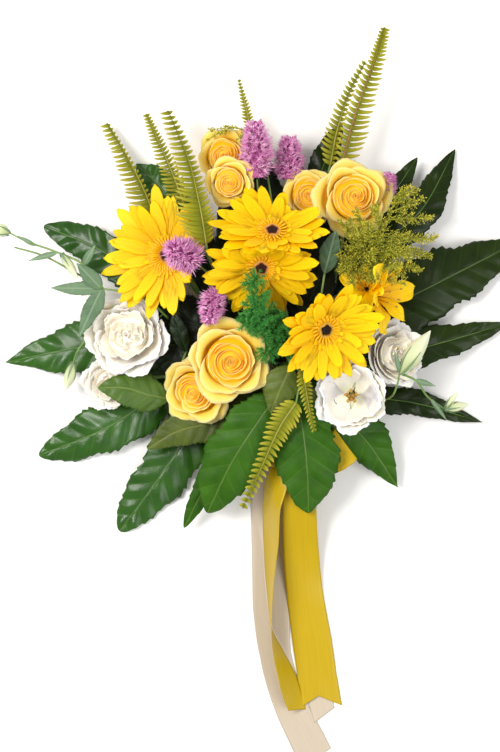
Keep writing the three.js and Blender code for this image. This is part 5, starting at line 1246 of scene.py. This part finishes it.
def spray(data):
    """Lisianthus side shoots: thin stalks, furled buds and narrow blue-green leaves."""
    stalks, buds, leaves = data
    skin = Skin()
    for points in stalks:
        strand(skin, points, 6 * len(points), 1.2, 0.8, 8, 0.4, 1)
    for k, (root, tip, radius) in enumerate(buds):
        bud(skin, root, tip, radius, 0.3 + 0.4 * chance(k))
    for k, (root, tip, half) in enumerate(leaves):
        bow = blend(root, tip, 0.5) + [0, 0, 2]
        lobe(skin, (root, bow, tip), half, chance(k + 3), k, 9.0, 9.0, 0.1, 0.2, narrow, 30, 9, 0, 0.6)
    return skin


# Wrap and ribbons


def wrap(materials):
    """The cloth round the tie: a band wound once and a little more, pressed flat underneath.

    Its radius swells in soft pleats along the bunch, and its two rims turn in.
    """
    skin = Skin()
    turn = np.linspace(-0.15, 2 * math.pi + 0.25, 150)[:, None]
    s = np.linspace(-1, 1, 33)[None, :]
    spiral = 0.5 * turn / math.pi - 0.4
    pleats = 0.32 * np.sin(7 * s + 3 * np.sin(turn)) + 0.22 * np.sin(15 * s + 2 * turn)
    radius = TIE_HEIGHT + 0.2 + 0.5 * spiral + pleats - 1.3 * np.abs(s) ** 8
    centre = at(TIE_COLUMN, TIE_ROW, TIE_HEIGHT)
    x = centre[0] + np.sin(turn) * radius
    y = centre[1] + WRAP_HALF_LENGTH * s
    z = np.maximum(0.35, centre[2] - np.cos(turn) * radius)
    spots = together(WRAP_HALF_LENGTH * s, TIE_HEIGHT * turn)
    sheet(skin, together(x, y, z)[:, ::-1], 0.7, 0.5, spots[:, ::-1])
    make_piece("stem_wrap_fine", skin, materials, "stem_wrap")


# Stations along each tail: column, row, height, width across and tilt in degrees
WIDE_TAIL = ((302, 448, KNOT, 22, 0), (301, 478, KNOT, 32, 0), (300, 512, 36, 34, 0), (302, 556, 15, 36, 0),
             (306, 598, 2.6, 37, 0), (313, 645, 1.7, 40, 0), (318, 680, 1.7, 40, 0), (321, 714, 1.7, 46, 0))
NARROW_TAIL = ((297, 448, KNOT, 20, 0), (281, 474, KNOT, 24, -20), (272, 504, 35, 34, -56),
               (271, 545, 21, 36, -66), (270, 590, 20, 36, -80), (272, 632, 20, 36, -90),
               (279, 658, 19, 34, -108), (288, 684, 16, 32, -126), (298, 716, 7, 20, -150))
CREAM_TAIL = ((279, 449, 17, 22, 84), (277, 466, 15, 28, 62), (272, 488, 8.4, 34, 24), (270, 512, 1, 38, 0),
              (271, 560, 0.5, 38, 0), (272, 612, 0.5, 38, 0), (276, 660, 0.5, 32, 0), (289, 706, 0.5, 33, 0),
              (309, 748, 0.5, 36, 0), (318, 766, 0.5, 36, 0))
CREAM_UNDER = ((281, 500, 3.4, 20, 0), (293, 560, 0.75, 24, 0), (303, 620, 0.75, 26, 0),
               (315, 680, 0.75, 26, 0), (326, 722, 0.75, 24, 0))
# Each loop of the bow: distance to the side and picture rows down from the knot, on the way out,
# at its middle and at its end, and the direction in which its end points
LOOPS = (
    ((2, 3), (24, 9), (40, -1), (44.5, -6), (0.81, 0.58, 0)),
    ((-2, 0), (-24, 0), (-44, 0), (-50, 0), (-1, 0, 0)),
)


def bow_loop(places):
    """Stations of a loop: out over the wrap, round its end and back above itself."""
    start, middle, late, end = places
    turns = ((start, -0.8, 24), (middle, -1, 35), (late, -0.4, 38), (end, 1.6, 38), (late, 3.6, 38),
             (middle, 3.4, 32), (start, 1.6, 22))
    return [(TIE_COLUMN + out, KNOT_ROW + down, KNOT + up, wide, 0) for (out, down), up, wide in turns]


def ribbon(skin, stations, rows, notch=0.0, slant=0.0, ripple=0.5, crown=0.6, aim=None):
    """A satin strip along stations of column, row, height, width and tilt in degrees.

    Its centre is a smooth line through the stations, and width and tilt run straight between them.
    It crowns by `crown` across, ripples softly along, and its end is cut on the slant or notched.
    It lies square to its own line, or to the fixed direction aim, as a loop that turns back does.
    Returns its area in square millimetres.
    """
    table = np.array(stations, float)
    points = np.array([at(*row[:3]) for row in stations])
    t = np.linspace(0, 1, rows)
    s = np.linspace(-1, 1, 17)[None, :]
    long = length(points)
    run = (t * long)[:, None]
    f = t * (len(table) - 1)
    wide = np.interp(f, np.arange(len(table)), table[:, 3])
    tilt = np.radians(np.interp(f, np.arange(len(table)), table[:, 4]))
    centre = along(points, t)
    way = heading(points, t)
    flat = unit(np.cross(way if aim is None else aim + 0 * way, [0, 0, 1.0]))
    across = around(tilt, flat, np.cross(flat, way))
    normal = np.cross(across, way)
    shift = (slant * s - notch * (1 - np.abs(s))) * ease((t - 0.85) / 0.15)[:, None]
    lift = crown * (1 - s**2) + ripple * np.sin(run / 21 + 1.3 * s)
    lift = lift * ease(t * 6)[:, None]
    aside = s * wide[:, None] / 2
    grid = centre[:, None] + across[:, None] * aside[..., None]
    grid = grid + way[:, None] * shift[..., None] + normal[:, None] * lift[..., None]
    grid[..., 2] = np.maximum(grid[..., 2], 0.3)
    sheet(skin, grid[:, ::-1], 0.35, 0.5, together(aside, run)[:, ::-1])
    return float(np.mean(wide)) * long


def ribbons(yellow, cream):
    """The bow's loops, knot and two yellow tails, and the two cream tails under them."""
    skin = Skin()
    area = ribbon(skin, WIDE_TAIL, 150, notch=12, ripple=0.7)
    area += ribbon(skin, NARROW_TAIL, 150, slant=4, ripple=0.4)
    for *places, aim in LOOPS:
        area += ribbon(skin, bow_loop(places), 60, ripple=0.4, crown=0.3, aim=np.array(aim, float))
    knot(skin)
    bow = make_piece("yellow_ribbon_fine", skin, yellow, "yellow_ribbon")
    skin = Skin()
    area = ribbon(skin, CREAM_TAIL, 160, slant=3, ripple=0.25, crown=0.3)
    area += ribbon(skin, CREAM_UNDER, 90, slant=5, ripple=0.1, crown=0.1)
    tails = make_piece("cream_ribbon_fine", skin, cream, "cream_ribbon")


def knot(skin):
    """The knot: a short band of satin round the middle of the bow, gathered in pleats."""
    turn = np.linspace(0, 2 * math.pi, 41)[:, None]
    s = np.linspace(-1, 1, 21)[None, :]
    middle = at(TIE_COLUMN, KNOT_ROW, KNOT + 0.8)
    pinch = 1 - 0.12 * s**2 + 0.05 * np.sin(9 * s)
    x = middle[0] + 8.5 * s
    y = middle[1] + 10.5 * np.cos(turn) * pinch
    z = middle[2] + 4.6 * np.sin(turn) * pinch
    sheet(skin, together(x, y, z), 0.4, 0.5, together(10 * s, 8 * turn))


def floor():
    """A wide sheet of pale paper under the bunch."""
    bpy.ops.mesh.primitive_grid_add(size=6)
    board = bpy.context.object
    board.name = "floor"
    board.data.materials.append(paper())


def lamp(name, place, aim, size, power, code):
    """A square soft box at a place, turned towards aim."""
    light = bpy.data.lights.new(name, "AREA")
    light.size = size
    light.energy = power
    light.color = hue(code)[:3]
    box = bpy.data.objects.new(name, light)
    box.location = place
    box.rotation_euler = (Vector(aim) - Vector(place)).to_track_quat("-Z", "Y").to_euler()
    bpy.context.scene.collection.objects.link(box)


def studio():
    """Soft light from the upper left, a weaker one from the right, and a bright even room."""
    scene = bpy.context.scene
    scene.view_settings.view_transform = "Standard"
    room = bpy.data.worlds.new("studio")
    room.use_nodes = True
    glow = room.node_tree.nodes["Background"]
    glow.inputs[0].default_value = hue("#FFFFFF")
    glow.inputs[1].default_value = ROOM_LIGHT
    scene.world = room
    for row in LAMPS:
        lamp(*row)
    camera = bpy.data.cameras.new("camera")
    camera.sensor_width = 36
    camera.lens = 36 * (CAMERA_PLACE[2] - MIDDLE_HEIGHT) / PICTURE_LONG_SIDE
    eye = bpy.data.objects.new("camera", camera)
    eye.location = CAMERA_PLACE
    scene.collection.objects.link(eye)
    scene.camera = eye


# Assembly


def finishes():
    """Every material under a short name."""
    return {
        # Waxy skin of a cut stem, ridged along: a soft streak of light runs down each one
        "green": stem("green_stem", ((0.3, "#44692A"), (0.5, "#6A883E"), (0.7, "#869A58")), 0.5),
        # Thin gerbera rays with a faint nap: light comes through, and they go golden at the foot
        "gerbera": petal("gerbera_ray_petal", ((0.0, "#EE9800"), (0.16, "#F8AE00"), (0.5, "#FFBE00"),
                                               (1.0, "#FFCB08")), 0.5, 5, 0.08, 0.5),
        # Short florets of the disc: fleshier than the rays, so duller and with less light through
        "floret": petal("gerbera_disc_floret", ((0.0, "#E29400"), (0.6, "#FCB400"), (1.0, "#FFCC38")),
                        0.6, 2, 0.16, 0.3),
        # Closed disc buds: a brown velvet pile with hardly a highlight, tipped with pale pollen
        "eye": bits("gerbera_disc_velvet", ((0.0, "#200C08"), (0.4, "#4E1C10"), (0.68, "#B86A28"),
                                            (1.0, "#F8CC70")), 0.85),
        "dark_eye": bits("gerbera_disc_dark_velvet", ((0.0, "#0C0706"), (0.5, "#281410"), (0.7, "#B8801C"),
                                                      (1.0, "#F8D860")), 0.85),
        # Thick satiny rose petals: even and soft, cream at the rim, partly a painted highlight, and deep gold
        # at their feet and in the inner rings, partly painted shade where they close in
        "rose": petal("rose_petal_skin", ((0.0, "#FFA204"), (0.45, "#FFBE1C"), (0.7, "#FFCD3C"),
                                          (0.88, "#FFDA6C"), (1.0, "#FFE6A4")), 0.5, 4, 0.03, 0.5, "#FFB608"),
        # Papery lisianthus petals: matt and translucent white, creamy at the foot
        "lisianthus": petal("lisianthus_petal_skin", ((0.0, "#E6E0B4"), (0.3, "#F8F0DC"), (0.7, "#FCF6EC"),
                                                      (1.0, "#FFFAF2")), 0.6, 5, 0.02, 0.5, "#F8EEDA"),
        # Pollen on stigma and anthers: a dull ochre dust
        "pistil": bits("lisianthus_pistil", ((0.0, "#6A4A10"), (0.5, "#B88A2A"), (1.0, "#B9B040")), 0.7),
        # Smooth alstroemeria tepals: like the gerbera's, with a little more sheen
        "tepal": petal("alstroemeria_tepal", ((0.0, "#FFAE00"), (0.3, "#FFBE00"), (0.7, "#FFC808"),
                                              (1.0, "#FFD224")), 0.45, 5, 0.1, 0.5),
        # Fine liatris threads: too thin to shine, dark inside the spike and pale at its fringe
        "thread": bits("liatris_thread", ((0.0, "#98407C"), (0.35, "#D880BC"), (0.7, "#F6B2E0"),
                                          (1.0, "#FFE2F6")), 0.8),
        # Pinhead goldenrod buds: dull, from green inside the plume to yellow outside
        "goldenrod": bits("goldenrod_bud", ((0.0, "#566610"), (0.4, "#A8A826"), (0.75, "#E8DA44"),
                                            (1.0, "#FFF270")), 0.8),
        # Soft asparagus needles: a bright cool green that varies from needle to needle
        "needle": bits("asparagus_needle", ((0.0, "#1C6424"), (0.5, "#3A983C"), (1.0, "#6CC252")), 0.6),
        # Leathery fern pinnae, yellower at the tips, with a low sheen; the darker olive towards the rib is
        # painted shade
        "fern": petal("fern_pinna", ((0.0, "#5E660C"), (0.5, "#8E8E1C"), (1.0, "#B6AA3C")),
                      0.45, 3, 0.2, 0.15),
        "fern_rib": stem("fern_rib", ((0.3, "#7A7A20"), (0.7, "#A89A38")), 0.5),
        "red_rib": stem("fern_red_rib", ((0.3, "#7A4A20"), (0.7, "#A87A38")), 0.5),
        # Glossy aralia leaves: a hard waxed skin that catches the window light between its side veins
        "deep": leaf("aralia_leaf_deep", "#16370A", "#325E18", "#5C8238", VEINS, 0.75,
                     0.22, 0.35, 0.12, 0.32),
        # The ones at the back lie in the shade, and that shade is painted into their colour: nearly black
        "painted_shade_aralia": leaf("aralia_leaf_painted_shade", "#0C1802", "#24340A", "#46602A", VEINS, 0.75, 0.25, 0.3,
                        0.12, 0.17),
        # Young aralia leaves in front: softer skin, so a fresh even green
        "fresh": leaf("aralia_leaf_fresh", "#163A06", "#386412", "#6E8A3C", VEINS, 0.75,
                      0.36, 0.35, 0.25, 0.13),
        "aralia_rib": stem("aralia_midrib", ((0.3, "#4A6A2C"), (0.7, "#6C8A46")), 0.45),
        # Leathery salal leaves: a half gloss over a fine net, bright or olive; the third is painted shade,
        # near black, for leaves in the shade
        "bright": leaf("salal_leaf_bright", "#2B4A11", "#4E6A22", "#7E924F", 12.0, 0.75,
                       0.3, 0.4, 0.25, 0.25),
        "olive": leaf("salal_leaf_olive", "#384610", "#5C6C22", "#84883F", 12.0, 0.75,
                      0.36, 0.35, 0.25, 0.25),
        "dark": leaf("salal_leaf_painted_shade", "#050E04", "#12240A", "#243C1A", 12.0, 0.75, 0.34, 0.3, 0.25, 0.2),
        # Lisianthus leaves: a chalky bloom on the skin turns them blue-green and matt
        "blue": leaf("lisianthus_leaf", "#425C40", "#6A8464", "#8AA080", 9.0, 1.4, 0.5, 0.55, 0.25, 0.25),
        # Furled buds: pale green where the sepals hold them, whitish at the tip
        "bud": petal("lisianthus_bud", ((0.0, "#A4B478"), (0.4, "#CCD2A4"), (1.0, "#ECECCE")),
                     0.5, 4, 0.06, 0.3),
        # Wound cloth of the wrap: a coarse dull weave
        "cloth": satin("crepe_wrap", "#A88506", "#BC9E10", 1.1, 0.55, 0.25),
        # Satin ribbons: floating warp threads give a long soft sheen along the tails
        "gold": satin("yellow_satin_ribbon", "#AB8B02", "#C2A60A", 0.9, 0.32, 0.3),
        "ivory": satin("cream_satin_ribbon", "#B4A48F", "#CCBEAA", 0.9, 0.34),
    }


def blooms(look):
    """Every flower with its stem."""
    green = look["green"]
    for name, data in GERBERAS.items():
        gerbera_petals(name, data, [look["gerbera"], look["floret"]])
        gerbera_eye(name, data, [look["dark_eye" if name == "lower" else "eye"]])
        stalk(f"gerbera_{name}", f"gerbera_{name}_stem", green)
    for name, data in ROSES.items():
        rose(name, data, [look["rose"]])
    for base in ("rose_far", "rose_right", "rose_front"):
        stalk(base, f"{base}_stem", green)
    for name, data in LISIANTHUS.items():
        lisianthus(name, data, [look["lisianthus"], look["pistil"], green])
    for name, data in SPRAYS.items():
        base = f"lisianthus_{name}"
        stalks, buds, leaves = data
        make_piece(f"{base}_shoots", spray(data), [look["blue"], green, look["bud"]], f"{base}_stem")
        gone = [(points, 4) for points in stalks]
        gone += [((root, tip), half + 2.5) for root, tip, half in buds + leaves]
        stalk(base, f"{base}_stem", green, gone)
    alstroemeria([look["tepal"], look["pistil"], green])
    stalk("alstroemeria", "alstroemeria_stem", green)
    for name, data in LIATRIS.items():
        liatris(name, data, [look["thread"]])
        stalk(f"liatris_{name}", f"liatris_{name}_stem", green)


def greenery(look):
    """Every plume, frond and leaf. What is left of its solid stays as a stem."""
    green = look["green"]
    salal_looks = [look["bright"], look["olive"], look["dark"]]
    for name, data in GOLDENROD.items():
        node = f"goldenrod_{name}"
        spine, ends = data
        make_piece(f"{node}_fine", goldenrod(name, data), [look["goldenrod"]], node)
        branches = [((along(spine, share)[0], end), 12) for share, end in ends]
        stalk(node, node, green, [(spine, 14)] + branches)
    make_piece("asparagus_fern_fine", asparagus(), [look["needle"]], "asparagus_fern")
    stalk("asparagus", "asparagus_fern", green, [(ASPARAGUS, 22)])
    for name, data in FERNS.items():
        node = f"fern_{name}"
        rib = look["red_rib" if name == "far_right_outer" else "fern_rib"]
        make_piece(f"{node}_fine", fern(name, data), [look["fern"], rib], node)
        stalk(node, node, green, [(data[0], max(data[2:4]) + 5)])
    for name, data in ARALIA.items():
        node = f"aralia_{name}"
        centre, size, lobes = data
        # The right and far leaves take the aralia colour with painted shade
        skin = look[{"left": "deep", "front": "fresh"}.get(name, "painted_shade_aralia")]
        make_piece(f"{node}_fine", aralia(name, data), [skin, look["aralia_rib"]], node)
        gone = [(points, half + 8) for points, half, _ in lobes]
        stalk(node, node, green, gone, (centre, size * 0.95))
    for name, data in SALAL.items():
        node = f"salal_{name}"
        make_piece(f"{node}_fine", salal(data), salal_looks, node)
        stalk(node, node, green, [(points, half + 2) for points, half, _ in data])
    make_piece("filler_leaves", fillers(), [*salal_looks, look["blue"], green], None)


studio()
floor()
skins = finishes()
blooms(skins)
greenery(skins)
wrap([skins["cloth"]])
ribbons([skins["gold"]], [skins["ivory"]])
